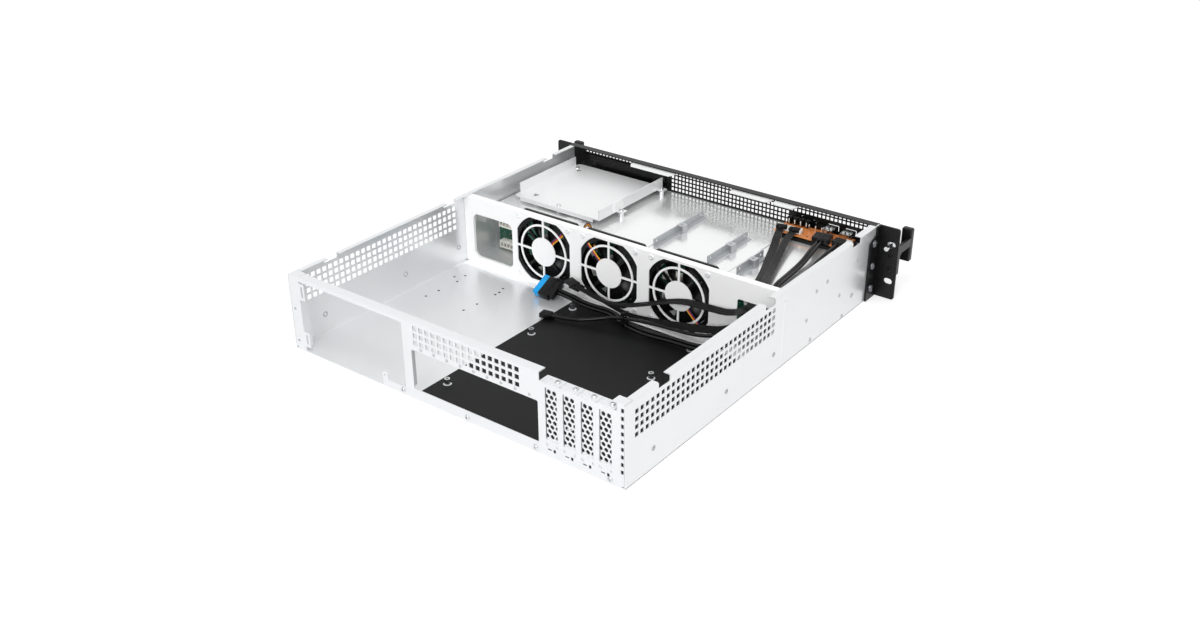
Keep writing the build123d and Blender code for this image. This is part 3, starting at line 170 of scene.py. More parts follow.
def tinted(tree, shader, pattern, dark, light, band=MIDDLE):
    """The base colour follows a pattern from one hex colour to another."""
    stops = [(place, linear(code)) for place, code in zip(band, (dark, light))]
    tree.links.new(ramp(tree, pattern, stops), shader.inputs["Base Color"])


def roughened(tree, shader, pattern, rough, band=MIDDLE):
    """The roughness follows a pattern between two values."""
    stops = [(place, grey(level)) for place, level in zip(band, rough)]
    tree.links.new(ramp(tree, pattern, stops), shader.inputs["Roughness"])


def zinc_plated_steel(name, metallic, rough, light, dark):
    """Thin bright zinc over rolled sheet: satin, with passivation clouds about 60 mm across."""
    material, tree, shader = surface(name, Metallic=metallic)
    clouds = noise(tree, 60.0, detail=1.0)
    tinted(tree, shader, clouds, dark, light, WHOLE)
    roughened(tree, shader, clouds, rough, WHOLE)
    return material


def powder_coat(name, colour, lift, rough):
    """Baked powder over steel: fine orange peel about 0.8 mm across, satin sheen."""
    material, tree, shader = surface(name, **{"Roughness": rough, "IOR": 1.5, "Specular IOR Level": 0.26})
    tinted(tree, shader, noise(tree, 30.0), colour, lift)
    bumped(tree, shader, noise(tree, 0.8, detail=2.0), 0.25, 0.05)
    return material


def anodised_aluminium(name, colour, lift):
    """Black anodised, bead-blasted aluminium: a metal sheen under dark oxide, grain about 0.4 mm."""
    material, tree, shader = surface(name, Metallic=0.35)
    grain = noise(tree, 0.4, detail=1.0)
    tinted(tree, shader, noise(tree, 18.0), colour, lift)
    roughened(tree, shader, grain, (0.32, 0.46))
    bumped(tree, shader, grain, 0.12, 0.03)
    return material


def moulded(name, colour, lift, rough, grain_mm=0.5, depth=0.18):
    """Moulded plastic: spark-eroded texture from the tool and slight flow marks; dark ones shine less."""
    shine = 0.5 if int(colour[1:3], 16) > 64 else 0.2
    material, tree, shader = surface(name, **{"IOR": 1.52, "Specular IOR Level": shine})
    grain = noise(tree, grain_mm, detail=2.0)
    tinted(tree, shader, noise(tree, 14.0, stretch=(3, 1, 1)), colour, lift)
    roughened(tree, shader, grain, (rough - 0.06, rough + 0.06))
    bumped(tree, shader, grain, depth, 0.04)
    return material


def machined(name, colour, lift, rough):
    """Plated small part: bright, with a haze from handling."""
    material, tree, shader = surface(name, Metallic=1.0)
    haze = noise(tree, 3.0)
    tinted(tree, shader, haze, colour, lift)
    roughened(tree, shader, haze, rough)
    return material


def solder_mask(name, colour, trace, copper):
    """Lacquered circuit board: traces show lighter through the mask, with dots of bare solder."""
    material, tree, shader = surface(name, **{"Roughness": 0.3, "IOR": 1.5, "Coat Weight": 0.3,
                                              "Coat Roughness": 0.15})
    place = pattern_place(tree, (260, 260, 260))
    runs = add(tree, "ShaderNodeTexBrick", links={"Vector": place}, offset=0.37, squash=0.6,
               values={"Scale": 1.0, "Mortar Size": 0.06, "Brick Width": 0.9, "Row Height": 0.21,
                       "Color1": linear(colour), "Color2": linear(colour), "Mortar": linear(trace)})
    dots = add(tree, "ShaderNodeTexVoronoi", values={"Scale": 420.0, "Randomness": 0.6},
               links={"Vector": pattern_place(tree)})
    pads = ramp(tree, dots.outputs["Distance"], [(0.10, grey(1)), (0.14, grey(0))])
    mixed = add(tree, "ShaderNodeMix", data_type="RGBA", values={"B": linear(copper)},
                links={"Factor": pads, "A": runs.outputs["Color"]})
    tree.links.new(mixed.outputs["Result"], shader.inputs["Base Color"])
    bumped(tree, shader, runs.outputs["Fac"], 0.2, 0.05)
    return material


def insulating_film():
    """Matte black polypropylene film: fine pebble grain and a broad soft sheen."""
    material, tree, shader = surface("Matte polypropylene film", **{"Roughness": 0.5, "IOR": 1.49,
                                                                   "Specular IOR Level": 0.22})
    tinted(tree, shader, noise(tree, 60.0), "#060607", "#0A0A0B")
    bumped(tree, shader, noise(tree, 0.9, detail=2.0), 0.3, 0.05)
    return material


def cable_sheath(name, colour, lift, rough):
    """Extruded PVC sheath: smooth and a little glossy, with faint drawing waves."""
    material, tree, shader = surface(name, **{"Roughness": rough, "IOR": 1.53, "Specular IOR Level": 0.3})
    waves = noise(tree, 2.5, detail=2.0)
    tinted(tree, shader, waves, colour, lift)
    bumped(tree, shader, waves, 0.12, 0.1)
    return material


FINISHES = {}

# The same plating everywhere, in lit and shaded copies whose colours are painted light and shade:
# near white on the fan wall, grey as painted shade on brackets, dimples and nuts.
# Flat floors mirror more, walls scatter more after forming.
# Each has a name, a metallic share, a range of roughness, and its light and dark colours.
ZINC = {
    "zinc_plated_steel": ("Zinc-plated rolled steel", 0.55, (0.27, 0.31), "#EEEFF0", "#E7E9EA"),
    "zinc_wall": ("Zinc-plated folded panel", 0.4, (0.32, 0.37), "#F8F9F9", "#F2F3F4"),
    "zinc_painted_lit_white": ("Zinc-plated steel, painted lit white", 0.06, (0.36, 0.42), "#FFFFFF", "#FCFCFD"),
    "zinc_roof": ("Zinc-plated cage roof", 0.64, (0.18, 0.21), "#FCFDFD", "#F8F9F9"),
    "zinc_painted_shade_grey": ("Zinc-plated steel, painted shade grey", 0.3, (0.34, 0.4), "#C2C5C8", "#B8BBBE"),
    "zinc_rear": ("Zinc-plated rear panel", 0.4, (0.32, 0.37), "#EBECEE", "#E4E6E8"),
}
# Sheath colours of the thin wires
WIRES = {"red": ("#B3271D", "#C53528"), "orange": ("#D9661C", "#E67A2E"),
         "yellow": ("#E0B62A", "#EAC544"), "purple": ("#4A2E6E", "#5D3D86")}


def make_finishes():
    """Every material, kept by the record's slot name or by its own short name."""
    FINISHES.update({
        "screw_steel": machined("Nickel-plated steel", "#C9CBCD", "#E2E3E4", (0.16, 0.28)),
        "black_painted_steel": powder_coat("Black powder-coated steel", "#0D0D0E", "#131315", 0.36),
        # Rivet colour: black lightened to grey, painted sheen for the highlights of glossy black domes
        "black_rivet_painted_sheen": machined("Black rivet, lightened as painted sheen", "#5E5F63", "#727378", (0.1, 0.16)),
        "black_coated_aluminium": anodised_aluminium("Black anodised aluminium", "#101011", "#18181A"),
        "chromed_screw": machined("Chromed steel", "#DADBDC", "#F0F0F1", (0.06, 0.14)),
        "black_plastic": moulded("Black moulded ABS", "#080809", "#0E0E0F", 0.3),
        "black_film": insulating_film(),
        "green_circuit_board": solder_mask("Green solder mask", "#0F4A38", "#1B6B50", "#C8CCCB"),
        "orange_circuit_board": solder_mask("Orange-brown phenolic board", "#D0702F", "#E28F4E", "#F0E4D0"),
        "white_plastic": moulded("White nylon", "#E9E7DF", "#F2F0EA", 0.36, 0.8, 0.06),
        "cable_sheath": cable_sheath("Black PVC sheath", "#050506", "#09090A", 0.09),
        "blue": moulded("Blue moulded nylon", "#1396DC", "#22A8EC", 0.35, 0.8, 0.06),
        # Near black for painted shade: in lanced marks, slot-cover gaps and floor holes
        "shade": moulded("Painted shade, near black", "#1C1D1F", "#26272A", 0.6),
        "pin": machined("Tin-plated brass pin", "#C8C3B4", "#DAD6CA", (0.18, 0.28)),
    })
    for key, looks in ZINC.items():
        FINISHES[key] = zinc_plated_steel(*looks)
    for wire, (colour, lift) in WIRES.items():
        FINISHES[wire] = cable_sheath(f"{wire.capitalize()} PVC wire", colour, lift, 0.36)


# Pieces

def finished(name, mesh, body, finish, stands_for=()):
    """An object for the mesh, with one material, riding on a body of the case."""
    if mesh.materials:
        mesh.materials.clear()
    mesh.materials.append(FINISHES[finish])
    piece = bpy.data.objects.new(name, mesh)
    bpy.context.scene.collection.objects.link(piece)
    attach(piece, body)
    if stands_for:
        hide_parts(*stands_for)
    return piece


def mesh_of(name, form, smooth=None):
    """The mesh of a filled bmesh, which it frees; edges above the angle smooth, in degrees, stay sharp."""
    mesh = bpy.data.meshes.new(name)
    form.to_mesh(mesh)
    form.free()
    if smooth is not None:
        mesh.shade_smooth()
        mesh.set_sharp_from_angle(angle=radians(smooth))
    return mesh


def mesh_from(name, build, smooth=None):
    """A mesh made by a function that fills a bmesh, in millimetres, then put into the frame."""
    form = bmesh.new()
    build(form)
    bmesh.ops.remove_doubles(form, verts=form.verts, dist=1e-4)
    bmesh.ops.recalc_face_normals(form, faces=form.faces)
    for vert in form.verts:
        vert.co = spot(*vert.co)
    return mesh_of(name, form, smooth)


def small_form(name, build, smooth=None):
    """A small mesh on +Z for copies: a function fills it in millimetres, and it is kept in metres."""
    form = bmesh.new()
    build(form)
    bmesh.ops.recalc_face_normals(form, faces=form.faces)
    bmesh.ops.scale(form, vec=(0.001, 0.001, 0.001), verts=form.verts)
    return mesh_of(name, form, smooth)


def box_in(form, low, high):
    """A box between two corners in a bmesh."""
    size = [abs(b - a) for a, b in zip(low, high)]
    middle = [(a + b) / 2 for a, b in zip(low, high)]
    place = Matrix.Translation(middle) @ Matrix.Diagonal((*size, 1))
    return bmesh.ops.create_cube(form, size=1.0, matrix=place)


def circle(radius, height, steps):
    """Points round the Z axis at a height."""
    turns = [2 * pi * i / steps for i in range(steps)]
    return [Vector((radius * cos(a), radius * sin(a), height)) for a in turns]


def ring(form, points):
    return [form.verts.new(p) for p in points]


def walls(form, rings):
    """Faces between each ring of vertices and the next."""
    for low, high in zip(rings, rings[1:]):
        for i in range(len(low)):
            j = (i + 1) % len(low)
            form.faces.new((low[i], low[j], high[j], high[i]))


def capped(form, rings):
    """Faces between rings of vertices, and over the first and the last ring."""
    walls(form, rings)
    form.faces.new(rings[0][::-1])
    form.faces.new(rings[-1])


def turned_in(form, profile, where=(0, 0, 0), axis="z", steps=32):
    """A turned solid from (radius, height) points, closed at both ends, on an axis through a point."""
    turn = {"z": Matrix(), "y": Matrix.Rotation(-pi / 2, 4, "X"), "-y": Matrix.Rotation(pi / 2, 4, "X")}[axis]
    place = Matrix.Translation(where) @ turn
    capped(form, [ring(form, [place @ p for p in circle(r, h, steps)]) for r, h in profile])


def growth_tree(name, inputs):
    """An empty Geometry Nodes tree with a geometry in and out and named inputs."""
    tree = bpy.data.node_groups.new(name, "GeometryNodeTree")
    tree.interface.new_socket("Geometry", in_out="INPUT", socket_type="NodeSocketGeometry")
    for label, (kind, value) in inputs.items():
        made = tree.interface.new_socket(label, in_out="INPUT", socket_type=f"NodeSocket{kind}")
        if value is not None:
            made.default_value = value
    tree.interface.new_socket("Geometry", in_out="OUTPUT", socket_type="NodeSocketGeometry")
    entry = tree.nodes.new("NodeGroupInput")
    return tree, entry.outputs


def close_tree(tree, geometry, material):
    """Ends a tree in real geometry with its material."""
    real = add(tree, "GeometryNodeRealizeInstances", links={"Geometry": geometry})
    coloured = add(tree, "GeometryNodeSetMaterial", links={"Geometry": real.outputs[0], "Material": material})
    add(tree, "NodeGroupOutput", links={"Geometry": coloured.outputs[0]})


def grow(name, base, tree, values):
    """The mesh that a tree makes from a base mesh and its input values."""
    helper = bpy.data.objects.new(name + "_base", base)
    bpy.context.scene.collection.objects.link(helper)
    modifier = helper.modifiers.new("Growth", "NODES")
    modifier.node_group = tree
    for item in tree.interface.items_tree:
        if item.item_type == "SOCKET" and item.in_out == "INPUT" and item.name in values:
            modifier[item.identifier] = values[item.name]
    graph = bpy.context.evaluated_depsgraph_get()
    mesh = bpy.data.meshes.new_from_object(helper.evaluated_get(graph))
    mesh.name = name
    helper.modifiers.clear()
    bpy.data.objects.remove(helper)
    return mesh


def points_mesh(name, places):
    mesh = bpy.data.meshes.new(name)
    mesh.from_pydata([spot(*p) for p in places], [], [])
    return mesh


def tree_of_copies():
    """Copies of one small form on every point, each turned by a fixed-seed random amount on its axis."""
    tree, inlet = growth_tree("Copies on points", {
        "Form": ("Object", None), "Turn": ("Vector", (0.0, 0.0, 0.0)), "Spin": ("Float", 0.0),
        "Material": ("Material", None)})
    form = add(tree, "GeometryNodeObjectInfo", links={"Object": inlet["Form"]})
    copies = add(tree, "GeometryNodeInstanceOnPoints",
                 links={"Points": inlet["Geometry"], "Instance": form.outputs["Geometry"],
                        "Rotation": inlet["Turn"]})
    chance = add(tree, "FunctionNodeRandomValue", data_type="FLOAT", values={"Seed": 7},
                 links={"Max": inlet["Spin"]})
    spin = add(tree, "ShaderNodeCombineXYZ", links={"Z": chance.outputs["Value"]})
    turned = add(tree, "GeometryNodeRotateInstances",
                 links={"Instances": copies.outputs["Instances"], "Rotation": spin.outputs["Vector"]})
    close_tree(tree, turned.outputs["Instances"], inlet["Material"])
    return tree


def copies(name, places, form_mesh, turn, finish, spin=0.0, stands_for=(), slot=None):
    """A piece made of one small form repeated at the given places."""
    if "Copies on points" not in bpy.data.node_groups:
        tree_of_copies()
    helper = bpy.data.objects.new(name + "_form", form_mesh)
    bpy.context.scene.collection.objects.link(helper)
    mesh = grow(name, points_mesh(name, places), bpy.data.node_groups["Copies on points"],
                {"Form": helper, "Turn": turn, "Spin": spin, "Material": FINISHES[finish]})
    bpy.data.objects.remove(helper)
    return finished(name, mesh, "case", finish, stands_for=stands_for)


# The directions that a small form's own +Z is turned to face
FACING = {"up": (0, 0, 0), "rear": (-pi / 2, 0, 0), "left": (0, pi / 2, 0), "right": (0, -pi / 2, 0)}


def screw_form(head_r, head_h, shank_r, shank, recess=0.62):
    """A pan-head screw on +Z with a cross recess, in metres."""
    steps = 28

    def build(form):
        profile = [(shank_r, -shank), (shank_r, 0), (head_r, 0), (head_r, head_h * 0.4),
                   (head_r * 0.93, head_h * 0.75), (head_r * 0.78, head_h)]
        rings = [ring(form, circle(r, h, steps)) for r, h in profile]
        walls(form, rings)
        form.faces.new(rings[0][::-1])
        arm, half = head_r * recess, head_r * 0.13
        cross = [(arm, -half), (arm, half), (half, half), (half, arm), (-half, arm), (-half, half),
                 (-arm, half), (-arm, -half), (-half, -half), (-half, -arm), (half, -arm), (half, -half)]
        upper = ring(form, [(x, y, head_h) for x, y in cross])
        lower = ring(form, [(x * 0.55, y * 0.8, head_h * 0.15) for x, y in cross])
        rim = [form.edges.new((upper[i], upper[(i + 1) % 12])) for i in range(12)]
        outer = [form.edges.get((rings[-1][i], rings[-1][(i + 1) % steps])) for i in range(steps)]
        bmesh.ops.triangle_fill(form, use_beauty=True, edges=rim + outer)
        for face in [f for f in form.faces if all(v in upper for v in f.verts)]:
            form.faces.remove(face)
        walls(form, [upper, lower])
        form.faces.new(lower)
    return small_form("Cross-recess screw", build, smooth=35)


# Places that several pieces share, in the source's millimetres
FAN_X = (95.2, 2.6, -90.0)
FAN_CENTRE_Z = 44.6
FAN_WALL_Y = 211.6
FAN_SCREW_REACH = 35.75
SLOT_X = (-133.0, -153.32, -173.64, -193.96)
REAR_Y = 478.0
WALL_OUTER_X, WALL_INNER_X = 216.0, 215.0

# Cables: the source's route points, in its millimetres
USB_ROUTE = (
    (-166.0, 45.0, 67.8), (-169.5, 66.0, 67.8), (-173.5, 95.0, 63.2), (-176.0, 130.0, 62.6),
    (-179.5, 166.0, 64.0), (-184.5, 190.0, 52.0), (-185.0, 213.0, 37.0), (-171.0, 234.0, 23.0),
    (-143.0, 244.0, 12.0), (-104.0, 240.0, 8.6), (-68.0, 243.0, 6.6), (-36.0, 238.0, 7.4),
    (-14.0, 228.0, 9.0), (20.0, 231.0, 8.0), (42.0, 228.5, 11.0), (60.0, 228.5, 11.6),
)
AUDIO_ROUTE = (
    (-185.0, 42.0, 67.6), (-186.0, 62.0, 67.6), (-185.0, 92.0, 62.0), (-187.0, 128.0, 61.0),
    (-190.0, 166.0, 63.0), (-195.0, 190.0, 55.0), (-197.0, 211.0, 48.0), (-186.0, 229.0, 40.0),
    (-160.0, 233.0, 29.0), (-128.0, 232.0, 18.0), (-94.0, 231.0, 15.5), (-60.0, 234.0, 14.6),
    (-27.0, 242.0, 13.0), (-6.0, 254.0, 8.0), (15.0, 265.0, 5.4), (37.0, 268.5, 5.2),
)
LEADS_ROUTE_1 = (
    (-112.0, 37.0, 67.6), (-117.0, 52.0, 67.6), (-126.0, 76.0, 62.4), (-136.0, 104.0, 61.0),
    (-149.0, 136.0, 61.0), (-159.0, 166.0, 62.6), (-167.0, 189.0, 51.0), (-171.0, 211.0, 40.0),
    (-160.0, 226.0, 32.0), (-130.0, 224.0, 23.0), (-96.0, 221.0, 15.5), (-62.0, 219.0, 9.0),
    (-28.0, 219.5, 6.0), (6.0, 220.0, 15.0), (34.0, 220.0, 19.0),
)
LEADS_ROUTE_2 = (
    (-128.0, 36.0, 67.6), (-131.5, 56.0, 67.6), (-139.0, 80.0, 66.0), (-149.0, 112.0, 63.0),
    (-159.0, 142.0, 62.6), (-168.0, 169.0, 65.0), (-173.0, 191.0, 58.5), (-175.0, 212.0, 54.5),
    (-160.0, 221.0, 50.0), (-134.0, 218.5, 47.0), (-104.0, 217.0, 45.0), (-78.0, 217.0, 37.0),
    (-52.0, 217.0, 25.0), (-22.0, 225.0, 17.5), (8.0, 231.0, 20.0), (36.0, 227.0, 26.0),
)
FAN_LEAD_ROUTE = (
    (58.6, 203.1, 62.0), (50.0, 203.0, 64.0), (47.5, 201.0, 76.0), (48.5, 194.0, 84.0),
    (50.5, 184.0, 82.0), (49.2, 179.5, 70.0), (49.6, 178.5, 57.0), (48.8, 174.0, 47.5),
    (49.0, 168.4, 47.5),
)


def route_curve(name, route, radius=0.0):
    """A smooth curve that takes the route's points as its control points."""
    curve = bpy.data.curves.new(name, "CURVE")
    curve.dimensions = "3D"
    line = curve.splines.new("NURBS")
    line.points.add(len(route) - 1)
    for point, place in zip(line.points, route):
        point.co = (*spot(*place), 1.0)
    line.order_u = 3
    line.use_endpoint_u = True
    curve.resolution_u = 8
    curve.bevel_depth = radius / 1000
    curve.bevel_resolution = 5
    curve.use_fill_caps = radius > 0
    return curve


def route_points(route):
    """The points along the route's own smooth curve."""
    helper = bpy.data.objects.new("route", route_curve("route", route))
    bpy.context.scene.collection.objects.link(helper)
    graph = bpy.context.evaluated_depsgraph_get()
    line = bpy.data.meshes.new_from_object(helper.evaluated_get(graph))
    found = [v.co.copy() for v in line.vertices]
    bpy.data.objects.remove(helper)
    return found


def length_of(points):
    return sum((b - a).length for a, b in zip(points, points[1:]))


def heading(points, i):
    """The direction of a run of points at one of them."""
    return (points[min(i + 1, len(points) - 1)] - points[max(i - 1, 0)]).normalized()


def tube_along(form, points, radius, steps=8):
    """A closed tube along points, in a bmesh."""
    side = (points[1] - points[0]).orthogonal().normalized()
    turns = [2 * pi * k / steps for k in range(steps)]
    rings = []
    for i, point in enumerate(points):
        ahead = heading(points, i)
        side = (side - ahead * side.dot(ahead)).normalized()
        other = ahead.cross(side)
        rings.append(ring(form, [point + radius * (side * cos(a) + other * sin(a)) for a in turns]))
    capped(form, rings)


def strands_mesh(name, points, colours, wire_r, pitch, gather):
    """Thin wires side by side, flat at first and gathered into a loose bunch along the route."""
    form = bmesh.new()
    total = length_of(points)
    kinds = sorted(set(colours))
    middle = (len(colours) - 1) / 2
    for s, colour in enumerate(colours):
        ahead = (points[1] - points[0]).normalized()
        side = ahead.cross(Vector((0, 0, 1))).normalized()
        gone, path, made = 0.0, [], len(form.faces)
        for i, point in enumerate(points):
            if i:
                gone += (point - points[i - 1]).length
            ahead = heading(points, i)
            side = (side - ahead * side.dot(ahead)).normalized()
            bunch = min(1.0, max(0.0, (gone / total - gather[0]) / (gather[1] - gather[0])))
            across = (s - middle) * pitch * (1 - 0.5 * bunch)
            up = wire_r * bunch * (1.0 if s % 2 else -1.0) + wire_r * 0.5 * bunch * sin(gone * 55 + 2.2 * s)
            path.append(point + side * across + ahead.cross(side) * up)
        tube_along(form, path, wire_r)
        form.faces.ensure_lookup_table()
        for face in form.faces[made:]:
            face.material_index = kinds.index(colour)
    bmesh.ops.recalc_face_normals(form, faces=form.faces)
    return mesh_of(name, form, smooth=50), kinds


def plug_frame(route, end, tilt=0.0):
    """The plug's own axes at a cord's end, in millimetres: +Z away from the cord."""
    near, last = (route[1], route[0]) if end == "start" else (route[-2], route[-1])
    way = (Vector(last) - Vector(near)).normalized()
    across = way.cross(Vector((0, 0, 1))).normalized()
    pose = Matrix((across, way.cross(across), way)).transposed().to_4x4()
    pose.translation = Vector(last)
    return pose @ Matrix.Rotation(radians(tilt), 4, "Z")


def soft_box(form, low, high, bevel=0.3, pose=None, segments=2):
    """A box with rounded edges between two corners, moved by a matrix."""
    corners = box_in(form, low, high)["verts"]
    # Each edge once, in an order that is the same each run
    edges = list(dict.fromkeys(e for v in corners for e in v.link_edges))
    made = bmesh.ops.bevel(form, geom=edges, offset=bevel, segments=segments, profile=0.5,
                           affect="EDGES")["verts"]
    if pose is not None:
        bmesh.ops.transform(form, matrix=pose, verts=made)


def curved_blade(form, hub_r, tip_r, y0, y1, turn, thick=1.0, columns=6, rows=7):
    """One cambered, forward-swept fan blade about the Y axis, in millimetres."""
    middle, reach = (y0 + y1) / 2, (y1 - y0) / 2
    grid = []
    for i in range(columns + 1):
        share = i / columns
        r = hub_r + (tip_r - hub_r) * share
        wide = radians(44 - 10 * share)
        lean = radians(14) * share ** 1.4
        line = []
        for j in range(rows + 1):
            along = 2 * j / rows - 1
            angle = turn + lean + along * wide / 2
            camber = 0.35 * (along * along - 0.5) * (1 - share)
            y = middle + reach * (0.92 - 0.22 * share) * (along * 0.9 + camber)
            line.append(Vector((r * cos(angle), max(y0 + 0.2, min(y1 - 0.2, y)), r * sin(angle))))
        grid.append(line)
    for side in (-1, 1):
        sheets = []
        for i, line in enumerate(grid):
            sheets.append([form.verts.new(p + Vector((0, side * thick / 2, 0))) for p in line])
        for i in range(columns):
            for j in range(rows):
                corner = (sheets[i][j], sheets[i + 1][j], sheets[i + 1][j + 1], sheets[i][j + 1])
                form.faces.new(corner if side > 0 else corner[::-1])
        if side < 0:
            lower = sheets
    edge = [(i, 0) for i in range(columns + 1)] + [(columns, j) for j in range(1, rows + 1)]
    edge += [(i, rows) for i in range(columns - 1, -1, -1)] + [(0, j) for j in range(rows - 1, 0, -1)]
    for (a, b), (c, d) in zip(edge, edge[1:] + edge[:1]):
        form.faces.new((lower[a][b], lower[c][d], sheets[c][d], sheets[a][b]))


# Sizes and colours that a user may change

class StageSizes(bpy.types.PropertyGroup):
    focal: bpy.props.FloatProperty(name="Focal length", description="Lens on a 36 mm wide sensor",
                                   default=38.837, min=20.0, max=120.0)
    lamp: bpy.props.FloatProperty(name="Lamp power", description="Overhead softbox, in watts",
                                  default=13.0, min=1.0, max=200.0)
    rear: bpy.props.FloatProperty(name="Rear lamp power", description="Softbox behind the camera, in watts",
                                  default=17.0, min=0.0, max=200.0)
    fill: bpy.props.FloatProperty(name="Fill light", description="Strength of the white surroundings",
                                  default=0.76, min=0.0, max=1.0)


class FanSizes(bpy.types.PropertyGroup):
    blades: bpy.props.IntProperty(name="Blades", description="Blades of each rotor", default=7, min=3, max=13)
    tip: bpy.props.FloatProperty(name="Tip radius", description="Blade tip, in metres", default=0.0371,
                                 unit="LENGTH")


class MeshSizes(bpy.types.PropertyGroup):
    pitch: bpy.props.FloatProperty(name="Pitch", description="Distance between the holes of the front mesh",
                                   default=0.0052, unit="LENGTH")
    hole: bpy.props.FloatProperty(name="Hole", description="Side of each square hole", default=0.0038,
                                  unit="LENGTH")


# The photograph's camera: its right and its view as directions, and its place in millimetres
CAMERA_RIGHT = (-0.7964, -0.6047, -0.005)
CAMERA_AHEAD = (0.5367, -0.7029, -0.4668)
CAMERA_PLACE = (-767.1, 1235.4, 669.1)
# Each lamp's place and size in metres, and its share of a user's lamp power
LAMPS = {
    "Overhead softbox": ((-0.5, 1.0, 2.1), 0.8, "lamp", 1.0),
    "Side softbox": ((-2.2, 0.9, 1.3), 0.7, "lamp", 0.24),
    "Rear softbox": ((-0.7, 2.4, 0.95), 0.9, "rear", 1.0),
}
FLOOR_REACH = 9.0
FLOOR_GAP = 0.0003
FLOOR_GLOW = 0.52
# The middle and half the size of the field under the case, in metres
UNDER_CASE = (("X", 0.0, 0.2155), ("Y", 0.0183, 0.2385))
# How bright the studio is in reflections, from the horizon up
SKY = ((0.0, 0.8), (0.25, 1.0), (0.6, 0.97), (0.95, 0.84))


class CaseStage(bpy.types.Operator):
    """Camera, floor, surroundings and lamps"""
    bl_idname = "server_case.stage"
    bl_label = "Set the stage"

    def execute(self, context):
        sizes = context.scene.server_case_stage
        eye = bpy.data.cameras.new("Camera")
        eye.sensor_width = 36.0
        eye.lens = sizes.focal
        eye.clip_start, eye.clip_end = 0.05, 60.0
        camera = bpy.data.objects.new("Camera", eye)
        context.scene.collection.objects.link(camera)
        right = Vector(CAMERA_RIGHT).normalized()
        ahead = Vector(CAMERA_AHEAD).normalized()
        up = right.cross(ahead).normalized()
        pose = Matrix((right, up, -ahead)).transposed().to_4x4()
        pose.translation = spot(*CAMERA_PLACE)
        camera.matrix_world = pose
        context.scene.camera = camera
        context.scene.view_settings.view_transform = "Standard"

        floor_mesh = bpy.data.meshes.new("Floor")
        far, low = FLOOR_REACH, CAD_BOX[0][2] - FLOOR_GAP
        floor_mesh.from_pydata([(-far, -far, low), (far, -far, low), (far, far, low), (-far, far, low)], [],
                               [(0, 1, 2, 3)])
        floor = bpy.data.objects.new("Floor", floor_mesh)
        context.scene.collection.objects.link(floor)
        floor_mesh.materials.append(self.studio_floor())
        self.surroundings(context, sizes.fill)
        for name, (place, size, group, share) in LAMPS.items():
            lamp = bpy.data.lights.new(name, "AREA")
            lamp.shape = "SQUARE"
            lamp.size = size
            lamp.energy = getattr(sizes, group) * share
            obj = bpy.data.objects.new(name, lamp)
            context.scene.collection.objects.link(obj)
            obj.location = place
            obj.rotation_euler = (-Vector(place)).to_track_quat("-Z", "Y").to_euler()
        return {"FINISHED"}

    @staticmethod
    def studio_floor():
        """Pale seamless paper: white to the camera, and it keeps the soft shadow."""
        material = bpy.data.materials.new("Seamless studio paper")
        material.use_nodes = True
        tree = material.node_tree
        tree.nodes.clear()
        ray = add(tree, "ShaderNodeLightPath").outputs
        seen = maths(tree, "MAXIMUM", ray["Is Camera Ray"], ray["Is Glossy Ray"])
        seen = maths(tree, "MAXIMUM", seen, ray["Is Transmission Ray"])
        # The glow stops under the case, so that its screw holes look down on shade
        where = add(tree, "ShaderNodeTexCoord")
        place = add(tree, "ShaderNodeSeparateXYZ", links={"Vector": where.outputs["Object"]})
        beyond = []
        for axis, middle, half in UNDER_CASE:
            off = maths(tree, "ABSOLUTE", maths(tree, "SUBTRACT", place.outputs[axis], middle))
            beyond.append(maths(tree, "GREATER_THAN", off, half))
        bare = maths(tree, "MAXIMUM", *beyond)
        lift = maths(tree, "MULTIPLY", maths(tree, "MULTIPLY", seen, bare), FLOOR_GLOW)
        paper = add(tree, "ShaderNodeBsdfDiffuse", values={"Color": grey(0.6)})
        glow = add(tree, "ShaderNodeEmission", values={"Color": grey(1.0)}, links={"Strength": lift})
        both = add(tree, "ShaderNodeAddShader", links={0: paper.outputs[0], 1: glow.outputs[0]})
        add(tree, "ShaderNodeOutputMaterial", links={"Surface": both.outputs[0]})
        return material

    @staticmethod
    def surroundings(context, strength):
        """White studio: even fill on the object, a soft gradient in its reflections."""
        world = bpy.data.worlds.new("White studio")
        context.scene.world = world
        world.use_nodes = True
        tree = world.node_tree
        tree.nodes.clear()
        ray = add(tree, "ShaderNodeLightPath").outputs
        where = add(tree, "ShaderNodeTexCoord")
        height = add(tree, "ShaderNodeSeparateXYZ", links={"Vector": where.outputs["Generated"]})
        tone = ramp(tree, height.outputs["Z"], [(place, grey(level)) for place, level in SKY])
        fill = add(tree, "ShaderNodeBackground", values={"Color": grey(1.0), "Strength": strength})
        seen = add(tree, "ShaderNodeBackground", values={"Color": grey(1.0), "Strength": 1.0})
        mirrored = add(tree, "ShaderNodeBackground", values={"Strength": 1.0}, links={"Color": tone})
        shiny = maths(tree, "MAXIMUM", ray["Is Glossy Ray"], ray["Is Transmission Ray"])
        first = add(tree, "ShaderNodeMixShader", links={0: shiny, 1: fill.outputs[0], 2: mirrored.outputs[0]})
        second = add(tree, "ShaderNodeMixShader",
                     links={0: ray["Is Camera Ray"], 1: first.outputs[0], 2: seen.outputs[0]})
        add(tree, "ShaderNodeOutputWorld", links={"Surface": second.outputs[0]})


# The shares of a route between which its wires gather: past the end, so never, and near the end
FLAT = (2.0, 3.0)
BUNCHED = (0.62, 0.85)


